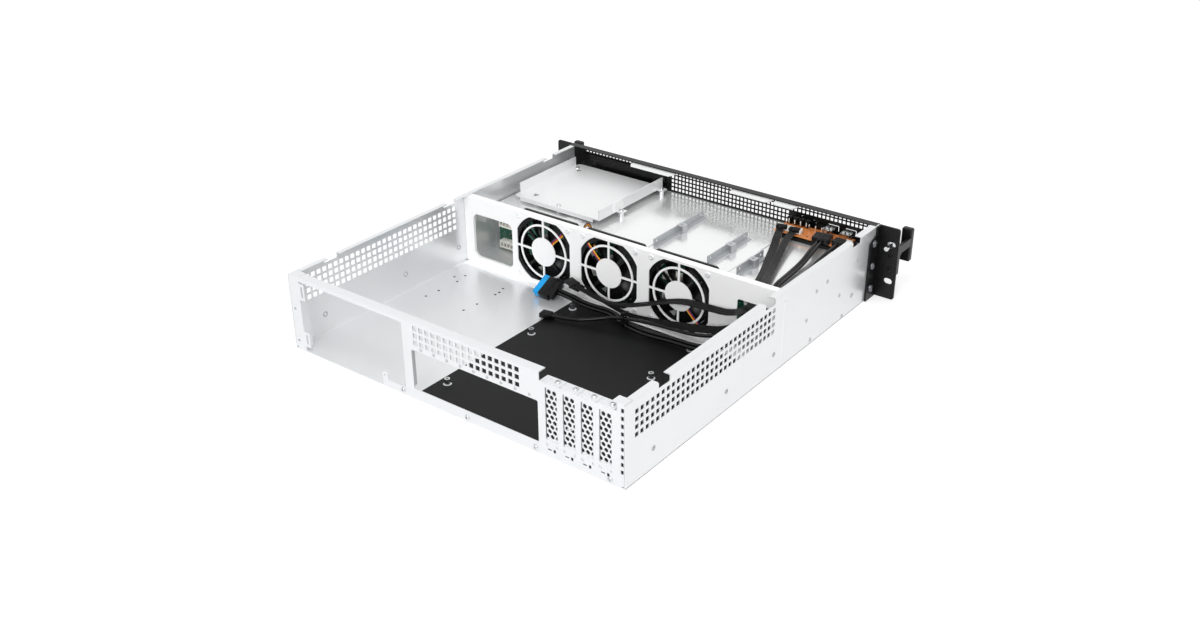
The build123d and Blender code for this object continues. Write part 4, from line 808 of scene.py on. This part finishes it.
class CaseCables(bpy.types.Operator):
    """Front-panel cables that cross the cage, drop through the wall and lie before the fans"""
    bl_idname = "server_case.cables"
    bl_label = "Lay the cables"

    def execute(self, context):
        usb_ends = [self.usb_header(), self.board_plug("usb_board_plug", USB_ROUTE, 20.0, 7.0, 18.0, 3.0)]
        audio_ends = [self.board_plug("audio_board_plug", AUDIO_ROUTE, 12.6, 6.5, 14.0, 2.0),
                      self.board_plug("audio_header_plug", AUDIO_ROUTE, 10.8, 5.2, 14.0, 2.0, "end")]
        self.strands("usb_sheaths", "usb_cable", USB_ROUTE, ["cable_sheath"] * 2, 0.00205, 0.00398, FLAT,
                     0.006, usb_ends, "medium")
        curve = route_curve("audio_sheath", AUDIO_ROUTE, 2.0)
        curve.materials.append(FINISHES["cable_sheath"])
        piece = bpy.data.objects.new("audio_sheath", curve)
        context.scene.collection.objects.link(piece)
        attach(piece, "case")
        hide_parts("audio_cable")
        length_of(route_points(AUDIO_ROUTE))
        for name, node, route in (("lamp_lead", "panel_leads_1", LEADS_ROUTE_1),
                                  ("switch_lead", "panel_leads_2", LEADS_ROUTE_2)):
            ends = [self.board_plug(f"{name}_board_plug", route, 12.6, 4.4, 7.0, 1.6),
                    self.comb(f"{name}_comb", route)]
            self.strands(f"{name}_strands", node, route, ["cable_sheath"] * 7, 0.00064, 0.00126, BUNCHED,
                         0.004, ends)
        colours = ["red", "yellow", "orange", "cable_sheath"]
        plug = self.board_plug("fan_lead_plug", FAN_LEAD_ROUTE, 10.2, 5.6, 11.5, 1.2, "end")
        self.strands("fan_lead_strands", "fan_lead", FAN_LEAD_ROUTE, colours, 0.00058, 0.00105, FLAT,
                     0.0024, [plug])
        self.tie()
        return {"FINISHED"}

    @staticmethod
    def strands(name, node, route, colours, wire_r, pitch, gather, diameter, ends, stiffness="limp"):
        points = route_points(route)
        mesh, kinds = strands_mesh(name, points, colours, wire_r, pitch, gather)
        piece = finished(name, mesh, "case", kinds[0], stands_for=(node,))
        for kind in kinds[1:]:
            mesh.materials.append(FINISHES[kind])

    @staticmethod
    def board_plug(name, route, wide, high, long, cord_r, end="start"):
        """Moulded plug: body with a latch, grip ribs and a short collar on the cord."""
        pose = plug_frame(route, end)
        half_w, half_h = wide / 2, high / 2

        def build(form):
            soft_box(form, (-half_w, -half_h, 1.4), (half_w, half_h, long), 0.5, pose)
            soft_box(form, (-half_w + 1.2, -half_h + 0.6, 0), (half_w - 1.2, half_h - 0.6, 2.0), 0.5, pose)
            soft_box(form, (-wide * 0.16, -half_h - 0.25, long * 0.35),
                     (wide * 0.16, half_h + 0.25, long * 0.9), 0.2, pose)
            for i in range(4):
                z = 2.6 + 1.3 * i
                soft_box(form, (-half_w - 0.2, -high * 0.3, z), (half_w + 0.2, high * 0.3, z + 0.6),
                         0.15, pose, 1)
            collar = ((-3.2, cord_r * 1.04), (-2.4, cord_r * 1.22), (0.2, cord_r * 1.35))
            capped(form, [ring(form, [pose @ p for p in circle(r, h, 16)]) for h, r in collar])
        return finished(name, mesh_from(name, build, smooth=35), "case", "black_plastic",
                        stands_for=("cable_plugs",))

    @staticmethod
    def comb(name, route):
        """Five narrow plugs side by side, every other one set back, each with its contact window."""
        pose = plug_frame(route, "end")

        def build(form):
            for i in range(5):
                x, back = (i - 2) * 2.54, 0.4 * (i % 2)
                soft_box(form, (x - 1.2, -1.3, back), (x + 1.2, 1.3, 13.6 + back), 0.2, pose)
                soft_box(form, (x - 0.6, -1.42, 4.0), (x + 0.6, 1.42, 8.0), 0.1, pose, 1)
        return finished(name, mesh_from(name, build, smooth=35), "case", "black_plastic",
                        stands_for=("cable_plugs",))

    @staticmethod
    def usb_header():
        """Wide header plug: black shell with a step and collar, blue face with two rows of contacts."""
        pose = plug_frame(USB_ROUTE, "end", -27.0)

        def shell(form):
            soft_box(form, (-13.3, -4.4, 6.5), (13.3, 4.4, 20.4), 0.9, pose)
            soft_box(form, (-11.0, -4.0, 0.6), (11.0, 4.0, 8.0), 1.6, pose)
            soft_box(form, (-5.0, -4.8, 9.0), (5.0, 4.8, 15.0), 0.25, pose)
            for i in range(3):
                soft_box(form, (-13.45, -2.6, 9.0 + 2.6 * i), (13.45, 2.6, 10.2 + 2.6 * i), 0.2, pose, 1)
        body = finished("usb_header_shell", mesh_from("usb_header_shell", shell, smooth=35), "case",
                        "black_plastic", stands_for=("usb_plug",))

        def face(form):
            soft_box(form, (-12.9, -4.1, 20.2), (12.9, 4.1, 27.6), 0.35, pose)
        finished("usb_header_face", mesh_from("usb_header_face", face, smooth=35), "case", "blue",
                 stands_for=("usb_plug",))

        def contacts(form):
            for i in range(10):
                for side in (-1, 1):
                    if (i, side) == (9, 1):
                        continue
                    x, y = (i - 4.5) * 2.0, side * 1.3
                    box_in(form, (x - 0.42, y - 0.42, 27.0), (x + 0.42, y + 0.42, 27.68))
            bmesh.ops.transform(form, matrix=pose, verts=form.verts)
        finished("usb_header_contacts", mesh_from("usb_header_contacts", contacts), "case", "black_plastic",
                 stands_for=("usb_plug",))
        return body

    @staticmethod
    def tie():
        """Nylon tie round the two sheathed cables where they lie on each other."""
        centre, half, radius, steps = Vector((-38.4, 238.5, 10.5)), 3.1, 3.5, 40

        def build(form):
            outline = []
            for k in range(steps):
                y, z = cos(2 * pi * k / steps), sin(2 * pi * k / steps)
                flat = half if z > 0 else -half
                outline.append((Vector((0, y * radius, z * radius + flat)), Vector((0, y, z))))
            rings = [ring(form, [centre + place + out * rise + Vector((x, 0, 0)) for place, out in outline])
                     for x, rise in ((-1.2, 0.0), (-1.2, 0.9), (1.2, 0.9), (1.2, 0.0))]
            walls(form, rings + rings[:1])
            top = centre + Vector((0, 0, radius + half))
            soft_box(form, top + Vector((-2.3, -1.6, -0.2)), top + Vector((2.3, 3.4, 3.4)), 0.5)
            soft_box(form, top + Vector((-1.1, -8.0, 1.2)), top + Vector((1.1, -1.0, 2.0)), 0.2)
        finished("nylon_tie", mesh_from("nylon_tie", build, smooth=40), "case", "black_plastic")


class CaseFinishes(bpy.types.Operator):
    """Real materials on every solid of the frame"""
    bl_idname = "server_case.finishes"
    bl_label = "Finish the solids"
    # Nodes that look other than their slot's own material; the zinc ones take lit and shaded copies of the
    # plating, as painted light and shade
    LIKE = {"fan_wall": "zinc_painted_lit_white", "cage_brackets": "zinc_painted_shade_grey", "rear_panel": "zinc_rear",
            "slot_covers": "zinc_rear", "optical_tray": "zinc_wall", "drive_cage": "zinc_roof",
            "standoffs": "screw_steel"}

    def execute(self, context):
        for part in frame["record"]["subparts"]:
            mesh = NODES[part["node"]].data
            mesh.materials.clear()
            mesh.materials.append(FINISHES[self.LIKE.get(part["node"], part["material_slot"])])
        return {"FINISHED"}


class CaseFans(bpy.types.Operator):
    """Rotors with curved blades behind the stamped guards"""
    bl_idname = "server_case.fans"
    bl_label = "Shape the fans"
    # The strut that each fan's wires follow, as its direction in x and z
    STRUTS = {1: (-1, 1), 2: (1, 1), 3: (-1, -1)}
    # Along the strut: the distance from the axis, and y, which dips at the guard's ring
    WIRE_WAY = ((14.0, 210.0), (17.5, 210.6), (20.0, 210.95), (25.0, 211.0), (29.6, 210.9),
                (31.2, 210.2), (33.6, 210.2), (35.0, 210.9), (38.5, 210.7), (41.5, 209.6))
    WIRE_PITCH, WIRE_R = 0.98, 0.5

    def execute(self, context):
        sizes = context.scene.server_case_fans
        for i in (1, 2, 3):
            low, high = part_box(f"fan_rotor_{i}")
            x = (low[0] + high[0]) * 500
            z = (low[2] + high[2]) * 500
            y0 = low[1] * 1000 + FRONT_FACE_TO_MIDDLE
            y1 = high[1] * 1000 + FRONT_FACE_TO_MIDDLE

            def rotor(form):
                for k in range(sizes.blades):
                    curved_blade(form, 16.0, sizes.tip * 1000, y0, y1, 2 * pi * k / sizes.blades)
                # Cup: closed towards the front, open towards the motor, with the axle inside
                turned_in(form, [(2.0, y1), (2.0, y0 + 1.6), (15.0, y0 + 1.6), (15.0, y1), (16.6, y1),
                                 (16.6, y0 + 1.2), (15.4, y0), (2.0, y0)], axis="y")
                for vert in form.verts:
                    vert.co = vert.co + Vector((x, 0, z))
            mesh = mesh_from(f"curved_rotor_{i}", rotor, smooth=40)
            finished(f"curved_rotor_{i}", mesh, f"rotor_{i}", "black_plastic",
                     stands_for=(f"fan_rotor_{i}",))
            self.motor_wires(i, x, z)
        return {"FINISHED"}

    @classmethod
    def motor_wires(cls, i, x, z):
        """Four thin wires from the motor along one strut, dipping under the guard's ring."""
        way = cls.STRUTS[i]
        ahead = Vector((way[0], 0, way[1])).normalized()
        across = Vector((-way[1], 0, way[0])).normalized()
        for k, colour in enumerate(("purple", "red", "orange", "yellow")):
            def build(form):
                path = []
                for r, y in cls.WIRE_WAY:
                    wave = 0.12 * sin(r * 0.9 + k * 2.1)
                    path.append(Vector((x, y, z)) + ahead * r + across * ((k - 1.5) * cls.WIRE_PITCH + wave))
                tube_along(form, path, cls.WIRE_R)
            mesh = mesh_from(f"motor_wire_{i}_{colour}", build, smooth=60)
            finished(f"motor_wire_{i}_{colour}", mesh, "case", colour)


class CaseFrontMesh(bpy.types.Operator):
    """Square-hole mesh of the front panel"""
    bl_idname = "server_case.front_mesh"
    bl_label = "Punch the front mesh"

    # Each field's left edge in metres, and its columns and rows of holes
    FIELDS = ((0.1966, 16, 1), (0.0642, 32, 5), (-0.1022, 20, 2))
    SHEET = 0.0012

    def execute(self, context):
        sizes = context.scene.server_case_mesh
        tree = self.perforation_tree()
        pitch, top = sizes.pitch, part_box("front_mesh")[1][2]
        form = bmesh.new()
        for left, columns, rows in self.FIELDS:
            seed = bpy.data.meshes.new("perforation_seed")
            mesh = grow("perforation", seed, tree, {
                "Columns": columns, "Rows": rows, "Pitch": pitch, "Hole": sizes.hole,
                "Thickness": self.SHEET, "Material": FINISHES["black_painted_steel"]})
            pose = Matrix.Translation((left - columns * pitch / 2, spot(0, 1.2, 0).y, top - rows * pitch / 2))
            mesh.transform(pose @ Matrix.Rotation(pi / 2, 4, "X"))
            form.from_mesh(mesh)
        finished("square_hole_mesh", mesh_of("square_hole_mesh", form), "case", "black_painted_steel",
                 stands_for=("front_mesh",))
        return {"FINISHED"}

    @staticmethod
    def perforation_tree():
        """A flat sheet with square holes: grid cells inset, emptied and given a thickness."""
        tree, inlet = growth_tree("Perforated sheet", {
            "Columns": ("Int", 10), "Rows": ("Int", 5), "Pitch": ("Float", 0.0052), "Hole": ("Float", 0.0038),
            "Thickness": ("Float", 0.0012), "Material": ("Material", None)})
        columns, rows, pitch = (inlet[label] for label in ("Columns", "Rows", "Pitch"))
        grid = add(tree, "GeometryNodeMeshGrid", links={
            "Size X": maths(tree, "MULTIPLY", columns, pitch), "Size Y": maths(tree, "MULTIPLY", rows, pitch),
            "Vertices X": maths(tree, "ADD", columns, 1.0), "Vertices Y": maths(tree, "ADD", rows, 1.0)})
        inset = add(tree, "GeometryNodeExtrudeMesh", mode="FACES",
                    values={"Offset Scale": 0.0, "Individual": True}, links={"Mesh": grid.outputs["Mesh"]})
        shrunk = add(tree, "GeometryNodeScaleElements", domain="FACE",
                     links={"Geometry": inset.outputs["Mesh"], "Selection": inset.outputs["Top"],
                            "Scale": maths(tree, "DIVIDE", inlet["Hole"], pitch)})
        punched = add(tree, "GeometryNodeDeleteGeometry", domain="FACE",
                      links={"Geometry": shrunk.outputs[0], "Selection": inset.outputs["Top"]})
        clean = add(tree, "GeometryNodeMergeByDistance", values={"Distance": 1e-5},
                    links={"Geometry": punched.outputs[0]})
        thick = add(tree, "GeometryNodeExtrudeMesh", mode="FACES", values={"Individual": False},
                    links={"Mesh": clean.outputs[0], "Offset Scale": inlet["Thickness"]})
        back = add(tree, "GeometryNodeFlipFaces", links={"Mesh": clean.outputs[0]})
        both = add(tree, "GeometryNodeJoinGeometry")
        for sheet in (thick.outputs["Mesh"], back.outputs["Mesh"]):
            tree.links.new(sheet, both.inputs[0])
        whole = add(tree, "GeometryNodeMergeByDistance", values={"Distance": 1e-5},
                    links={"Geometry": both.outputs[0]})
        close_tree(tree, whole.outputs[0], inlet["Material"])
        return tree


class CaseFasteners(bpy.types.Operator):
    """Screws with cross recesses and round-headed rivets"""
    bl_idname = "server_case.fasteners"
    bl_label = "Drive the screws"

    # Middles of the heads, in the source's millimetres; a slot's screw is counted from its middle
    SLOT_SCREW = (-3.0, 471.0, 78.8)
    TRAY_SCREWS = ((66.5, 101.0, 65.0), (66.5, 18.0, 65.0), (135.5, 133.0, 65.0), (192.5, 24.0, 65.0))
    REAR_EDGE = ((57.0, -28.4, -113.4, -199.0), 5.0)
    HANDLE_SCREWS = (232.55, 2.0, (37.0, 52.0))
    RIVETS = (218.3, 14.0, (13.5, 41.0, 68.0))

    def execute(self, context):
        reach = (-FAN_SCREW_REACH, FAN_SCREW_REACH)
        fans = [(x + a, FAN_WALL_Y, FAN_CENTRE_Z + b) for x in FAN_X for a in reach for b in reach]
        copies("fan_screws_zinc", fans, screw_form(3.2, 0.8, 1.45, 5.0, 0.66), FACING["rear"], "zinc_wall",
               spin=2 * pi, stands_for=("fan_screws",), slot="screw_steel")
        dx, slot_y, slot_z = self.SLOT_SCREW
        covers = [(x + dx, slot_y, slot_z) for x in SLOT_X]
        pan_head = screw_form(2.9, 1.4, 1.45, 4.0)
        copies("slot_and_tray_screws", covers + list(self.TRAY_SCREWS), pan_head, FACING["up"], "screw_steel",
               spin=2 * pi, stands_for=("panel_screws",), slot="screw_steel")
        edge_x, edge_z = self.REAR_EDGE
        copies("rear_edge_screws", [(x, REAR_Y, edge_z) for x in edge_x], pan_head, FACING["rear"],
               "screw_steel", spin=2 * pi, stands_for=("panel_screws",), slot="screw_steel")
        grip_x, grip_y, grip_z = self.HANDLE_SCREWS
        grips = [(side * grip_x, grip_y, z) for side in (-1, 1) for z in grip_z]
        copies("handle_screws", grips, screw_form(2.9, 1.4, 1.45, 5.0), FACING["rear"], "black_painted_steel",
               spin=2 * pi, stands_for=("ear_fasteners",), slot="black_painted_steel")
        # The ear rivets' grey is painted sheen: their black is lightened for the highlights of glossy domes
        ear_x, ear_y, ear_z = self.RIVETS
        for side, facing in ((1, "left"), (-1, "right")):
            copies(f"ear_rivets_{facing}", [(side * ear_x, ear_y, z) for z in ear_z], self.rivet(),
                   FACING[facing], "black_rivet_painted_sheen", stands_for=("ear_fasteners",), slot="black_painted_steel")
        return {"FINISHED"}

    @staticmethod
    def rivet():
        """A mushroom head and its shank on +Z, in metres."""
        dome = [(4.8 * cos(a), 2.9 * sin(a)) for a in (0.0, 0.3, 0.6, 0.9, 1.2, 1.45)]
        profile = [(1.4, -3.3), (1.4, 0.0)] + dome + [(0.12, 2.9)]
        return small_form("Round rivet", lambda form: turned_in(form, profile, steps=28), smooth=40)


class CaseLidCatches(bpy.types.Operator):
    """Bright folded tabs under the front flange that the top cover hooks into"""
    bl_idname = "server_case.lid_catches"
    bl_label = "Fold the lid catches"
    SPANS = ((52.0, 116.0), (-84.0, -30.0), (-118.0, -88.0))

    def execute(self, context):
        def build(form):
            for x0, x1 in self.SPANS:
                outline = [(x0, 1.4), (x1, 1.4), (x1, 14.0), (x1 - 4.0, 20.0), (x0 + 4.0, 20.0), (x0, 14.0)]
                capped(form, [ring(form, [(x, y, z) for x, y in outline]) for z in (84.6, 85.6)])
                soft_box(form, (x0, 1.4, 82.6), (x1, 2.4, 84.8), 0.2)
        finished("folded_catches", mesh_from("folded_catches", build), "case", "zinc_wall",
                 stands_for=("lid_catches",))
        return {"FINISHED"}


class CaseSocketBoard(bpy.types.Operator):
    """Sockets, switches, lamps and pin headers of the front board"""
    bl_idname = "server_case.socket_board"
    bl_label = "Populate the front board"

    TOP = 64.0
    USB_X = (-160.0, -182.0)
    SWITCH_X = (-109.5, -117.0, -124.5, -132.0)
    LAMP_X = (-148.5, -145.3, -142.1)

    def execute(self, context):
        top = self.TOP
        pieces = {
            "front_socket_shells": ("screw_steel", self.shells),
            "front_socket_tongues": ("blue", self.tongues),
            "front_switches": ("black_plastic", self.switches),
            # The white strips on the switches are painted highlights
            "front_switch_slits": ("white_plastic", self.switch_highlight_strips),
            "front_lamps": ("black_plastic", self.lamps),
            "front_ribbon_headers": ("white_plastic", self.headers),
        }
        for name, (finish, build) in pieces.items():
            mesh = mesh_from(name, lambda form: build(form, top), smooth=35)
            finished(name, mesh, "case", finish, stands_for=("io_sockets",))
        pins = [(-139.0 - 8.0 * k, 19.6, top) for k in range(4)]
        copies("front_header_pins", pins, self.pin(8.6, 0.75), FACING["up"], "chromed_screw",
               stands_for=("io_sockets",))
        joints = [(-108.0 - 4.1 * k, 35.6, top) for k in range(20)]
        copies("front_board_solder", joints, self.pin(0.7, 0.5), FACING["up"], "pin")
        return {"FINISHED"}

    @classmethod
    def shells(cls, form, top):
        """Each shell: floor, roof, two sides and back, with two springs on the roof."""
        for x in cls.USB_X:
            for low, high in (((-6.5, 1.6, 0.0), (6.5, 17.5, 0.5)), ((-6.5, 1.6, 6.1), (6.5, 17.5, 6.6)),
                              ((-6.5, 1.6, 0.0), (-6.0, 17.5, 6.6)), ((6.0, 1.6, 0.0), (6.5, 17.5, 6.6)),
                              ((-6.4, 15.0, 0.1), (6.4, 17.4, 6.5))):
                box_in(form, (x + low[0], low[1], top + low[2]), (x + high[0], high[1], top + high[2]))
            for side in (-1, 1):
                spring = x + side * 3.0
                soft_box(form, (spring - 0.8, 5.0, top + 6.5), (spring + 0.8, 11.0, top + 6.75), 0.1)

    @classmethod
    def tongues(cls, form, top):
        for x in cls.USB_X:
            soft_box(form, (x - 5.2, 3.0, top + 3.6), (x + 5.2, 15.2, top + 5.4), 0.2)

    @classmethod
    def switches(cls, form, top):
        for x in cls.SWITCH_X:
            soft_box(form, (x - 2.9, 7.4, top), (x + 2.9, 13.6, top + 8.4), 0.5)
            soft_box(form, (x - 2.4, 13.2, top + 0.6), (x + 2.4, 14.2, top + 7.6), 0.3)

    # White strips on the switch faces: painted highlights
    @classmethod
    def switch_highlight_strips(cls, form, top):
        for x in cls.SWITCH_X:
            soft_box(form, (x - 0.5, 13.9, top + 1.4), (x + 0.5, 14.4, top + 6.8), 0.1)

    @classmethod
    def lamps(cls, form, top):
        for x in cls.LAMP_X:
            turned_in(form, [(1.3, 0.0), (1.3, 3.4), (1.05, 4.4), (0.6, 5.0), (0.1, 5.2)],
                      (x, 7.0, top + 4.6), "-y", 20)
            soft_box(form, (x - 1.3, 7.0, top), (x + 1.3, 9.0, top + 6.2), 0.25)

    @staticmethod
    def headers(form, top):
        soft_box(form, (-136.0, 28.6, top), (-104.0, 34.4, top + 1.2), 0.2)
        soft_box(form, (-136.0, 28.6, top), (-104.0, 29.8, top + 5.6), 0.3)
        for x in (-136.0, -120.6, -105.2):
            soft_box(form, (x, 28.8, top + 0.4), (x + 1.2, 35.4, top + 5.2), 0.25)
        soft_box(form, (-196.5, 24.0, top), (-188.0, 30.0, top + 5.4), 0.4)
        for k in range(3):
            soft_box(form, (-194.9 + 2.5 * k, 29.2, top + 1.2), (-193.7 + 2.5 * k, 30.6, top + 4.4), 0.15)

    @staticmethod
    def pin(height, half):
        """A square post with a pointed tip on +Z, in metres."""
        corners = ((-1, -1), (1, -1), (1, 1), (-1, 1))
        levels = ((half, -0.1), (half, height * 0.86), (half * 0.4, height))

        def build(form):
            capped(form, [ring(form, [(x * wide, y * wide, z) for x, y in corners]) for wide, z in levels])
        return small_form("Square pin", build)


class CaseBackplanes(bpy.types.Operator):
    """Pins, latches and soldered parts on the backplanes"""
    bl_idname = "server_case.backplanes"
    bl_label = "Populate the backplanes"

    # Corners of the sockets: the rows' heights and the columns
    ROWS = (2.0, 29.3)
    COLUMNS = (-166.0, -60.0, 60.0, 181.0)
    FACE_Y = 156.6
    PIN_PITCH = 5.08

    def execute(self, context):
        sockets = [(x, z + 2.5) for z in self.ROWS for x in self.COLUMNS]
        pins = [(x + 3.7 + self.PIN_PITCH * i, 158.6, z + 4.5) for x, z in sockets for i in range(4)]
        copies("power_pins", pins, self.round_pin(), FACING["rear"], "pin")

        def latches(form):
            for x, z in sockets:
                soft_box(form, (x + 7.4, 157.4, z + 8.8), (x + 15.2, 164.4, z + 9.9), 0.25)
                for i in range(4):
                    low = (x + 2.7 + self.PIN_PITCH * i, self.FACE_Y, z - 0.5)
                    high = (x + 4.7 + self.PIN_PITCH * i, 163.0, z + 0.2)
                    soft_box(form, low, high, 0.15)
        finished("socket_latches", mesh_from("socket_latches", latches, smooth=35), "case", "white_plastic")
        # Small parts at random places, but for those that would lie under a socket
        dice = Random(11)
        chips, beads = [], []
        for z in self.ROWS:
            for _ in range(60):
                x, up = dice.uniform(-205, 205), dice.uniform(4.5, 22.5)
                if any(sx - 3 < x < sx + 26 and sz - 3 < z + up < sz + 12 for sx, sz in sockets):
                    continue
                (chips if dice.random() < 0.25 else beads).append((x, self.FACE_Y, z + up))
        copies("backplane_chips", chips, self.chip(4.2, 3.2, 1.1), FACING["rear"], "black_plastic")
        copies("backplane_beads", beads, self.chip(1.8, 1.0, 0.7), FACING["rear"], "pin")
        return {"FINISHED"}

    @staticmethod
    def round_pin():
        profile = [(0.9, 0.0), (0.9, 4.6), (0.6, 5.6), (0.3, 5.9)]
        return small_form("Power pin", lambda form: turned_in(form, profile, steps=12), smooth=35)

    @staticmethod
    def chip(wide, high, thick):
        def build(form):
            soft_box(form, (-wide / 2, -high / 2, 0), (wide / 2, high / 2, thick), 0.15, None, 1)
        return small_form("Soldered part", build)


class CasePressings(bpy.types.Operator):
    """Dimples and press nuts of the walls in painted shade grey, marks and gaps of the rear panel in painted
    shade, and painted shade in the floor's holes
    """
    bl_idname = "server_case.pressings"
    bl_label = "Press the dimples and marks"
    # On a side wall, as (y, z)
    DIMPLES = ((159, 33), (148, 5.5), (141, 60), (118, 62), (87, 33), (77, 4), (57, 21), (52, 62))
    NUTS = ((225.0, 22.5), (314.0, 22.0), (435.5, 22.0), (57.0, 21.0))
    # The row over the rear panel's socket aperture
    APERTURE_ROW = (range(-108, 34, 17), 59.6)
    # On the floor, as (x, y)
    FLOOR_HOLES = ((196, 255), (188, 245), (185, 262), (186, 292), (188, 311),
                   (130, 244), (127, 254), (127, 261), (128, 291), (130, 311))

    def execute(self, context):
        # Dimples and press nuts are grey as painted shade in and round their pressings
        for side, facing in ((-1, "right"), (1, "left")):
            places = [(side * WALL_OUTER_X, y, z) for y, z in self.DIMPLES]
            copies(f"wall_dimples_{facing}", places, self.dimple(2.4, 0.7), FACING[facing], "zinc_painted_shade_grey")
        for side, facing, other in ((-1, "right", "left"), (1, "left", "right")):
            outer = [(side * WALL_OUTER_X, y, z) for y, z in self.NUTS]
            inner = [(side * WALL_INNER_X, y, z) for y, z in self.NUTS]
            copies(f"wall_nuts_{facing}", outer, self.collar(2.9, 1.6, 0.35), FACING[facing], "zinc_painted_shade_grey")
            copies(f"inner_wall_nuts_{facing}", inner, self.collar(3.2, 1.6, 0.6), FACING[other],
                   "zinc_painted_shade_grey")
        # The aperture's dimples are grey as painted shade
        row, row_z = self.APERTURE_ROW
        copies("aperture_dimples", [(x, REAR_Y, row_z) for x in row], self.dimple(1.7, 0.8), FACING["rear"],
               "zinc_painted_shade_grey")
        # Foot marks and edge gaps are dark as painted shade; the tray's upstand is painted lit white
        for name, build, finish in (("slot_foot_marks", self.foot_mark_shade, "shade"),
                                    ("optical_tray_upstand", self.upstand, "zinc_painted_lit_white"),
                                    ("slot_edge_gaps", self.edge_gaps, "shade")):
            finished(name, mesh_from(name, build), "case", finish)
        # Dark cups in the floor's holes are painted shade
        copies("floor_hole_threads", [(x, y, 0.0) for x, y in self.FLOOR_HOLES], self.hole_shade_cup(), FACING["up"],
               "shade")
        return {"FINISHED"}

    @staticmethod
    def foot_mark_shade(form):
        """Lanced marks below each slot, drawn as dark patches of painted shade."""
        for x in SLOT_X:
            for low, high in (((-4.4, 0.4), (-1.8, 3.6)), ((0.6, 1.5), (4.8, 2.6))):
                box_in(form, (x + low[0], 477.9, 6.6 + low[1]), (x + high[0], 478.04, 6.6 + high[1]))

    @staticmethod
    def upstand(form):
        """The upright edge of the optical tray, a flat sheet with a rounded front corner."""
        outline = [(92.5, 64.9), (92.5, 71.5), (95.0, 76.2), (97.5, 77.4), (111.0, 77.4), (111.0, 64.9)]
        capped(form, [ring(form, [(x, y, z) for y, z in outline]) for x in (69.4, 70.45)])

    @staticmethod
    def edge_gaps(form):
        """Dark strips for the shadow between each slot cover and the edges of its opening."""
        for x in SLOT_X:
            for side in (-1, 1):
                low, high = sorted((x + side * 6.3, x + side * 6.78))
                box_in(form, (low, 476.98, 18.6), (high, 477.06, 73.4))

    @staticmethod
    def collar(radius, bore, rise):
        """The rim of a press nut on +Z, in metres."""
        profile = [(bore, -0.05), (radius, -0.05), (radius, rise * 0.7), (radius - 0.3, rise), (bore, rise)]

        def build(form):
            rings = [ring(form, circle(r, h, 20)) for r, h in profile]
            walls(form, rings + rings[:1])
        return small_form("Press nut", build, smooth=35)

    @staticmethod
    def hole_shade_cup():
        """A dark cup inside each hole of the floor, closed below, in metres: painted shade where the hole
        looks down.
        """
        profile = [(1.49, 0.03), (1.49, 0.93), (1.32, 0.93), (1.24, 0.2), (0.1, 0.2)]
        mesh = small_form("Painted hole shade", lambda form: turned_in(form, profile, steps=20))
        mesh.shade_smooth()
        return mesh

    @staticmethod
    def dimple(radius, rise):
        """A shallow round pressing on +Z, in metres."""
        profile = [(radius, -0.05), (radius, 0.0), (radius * 0.82, rise * 0.7), (radius * 0.5, rise),
                   (radius * 0.1, rise)]
        mesh = small_form("Dimple", lambda form: turned_in(form, profile, steps=24))
        mesh.shade_smooth()
        return mesh


CLASSES = (StageSizes, FanSizes, MeshSizes, CaseStage, CaseCables, CaseFinishes, CaseFrontMesh, CaseFans,
           CaseFasteners, CaseLidCatches, CaseSocketBoard, CaseBackplanes, CasePressings)
STEPS = ("stage", "cables", "finishes", "front_mesh", "fans", "fasteners", "lid_catches", "socket_board",
         "backplanes", "pressings")
GROUPS = {"stage": StageSizes, "fans": FanSizes, "mesh": MeshSizes}


class CasePanel(bpy.types.Panel):
    bl_idname = "VIEW3D_PT_server_case"
    bl_label = "Server case"
    bl_space_type = "VIEW_3D"
    bl_region_type = "UI"
    bl_category = "Server case"

    def draw(self, context):
        for step in STEPS:
            self.layout.operator(f"server_case.{step}")
        for label in GROUPS:
            group = getattr(context.scene, f"server_case_{label}")
            for key in group.bl_rna.properties.keys():
                if key not in ("rna_type", "name"):
                    self.layout.prop(group, key)


def register():
    for kind in (*CLASSES, CasePanel):
        bpy.utils.register_class(kind)
    for label, group in GROUPS.items():
        setattr(bpy.types.Scene, f"server_case_{label}", bpy.props.PointerProperty(type=group))


def unregister():
    for label in GROUPS:
        delattr(bpy.types.Scene, f"server_case_{label}")
    for kind in (CasePanel, *reversed(CLASSES)):
        bpy.utils.unregister_class(kind)


def main():
    register()
    make_finishes()
    for step in STEPS:
        getattr(bpy.ops.server_case, step)()


if __name__ == "__main__":
    main()
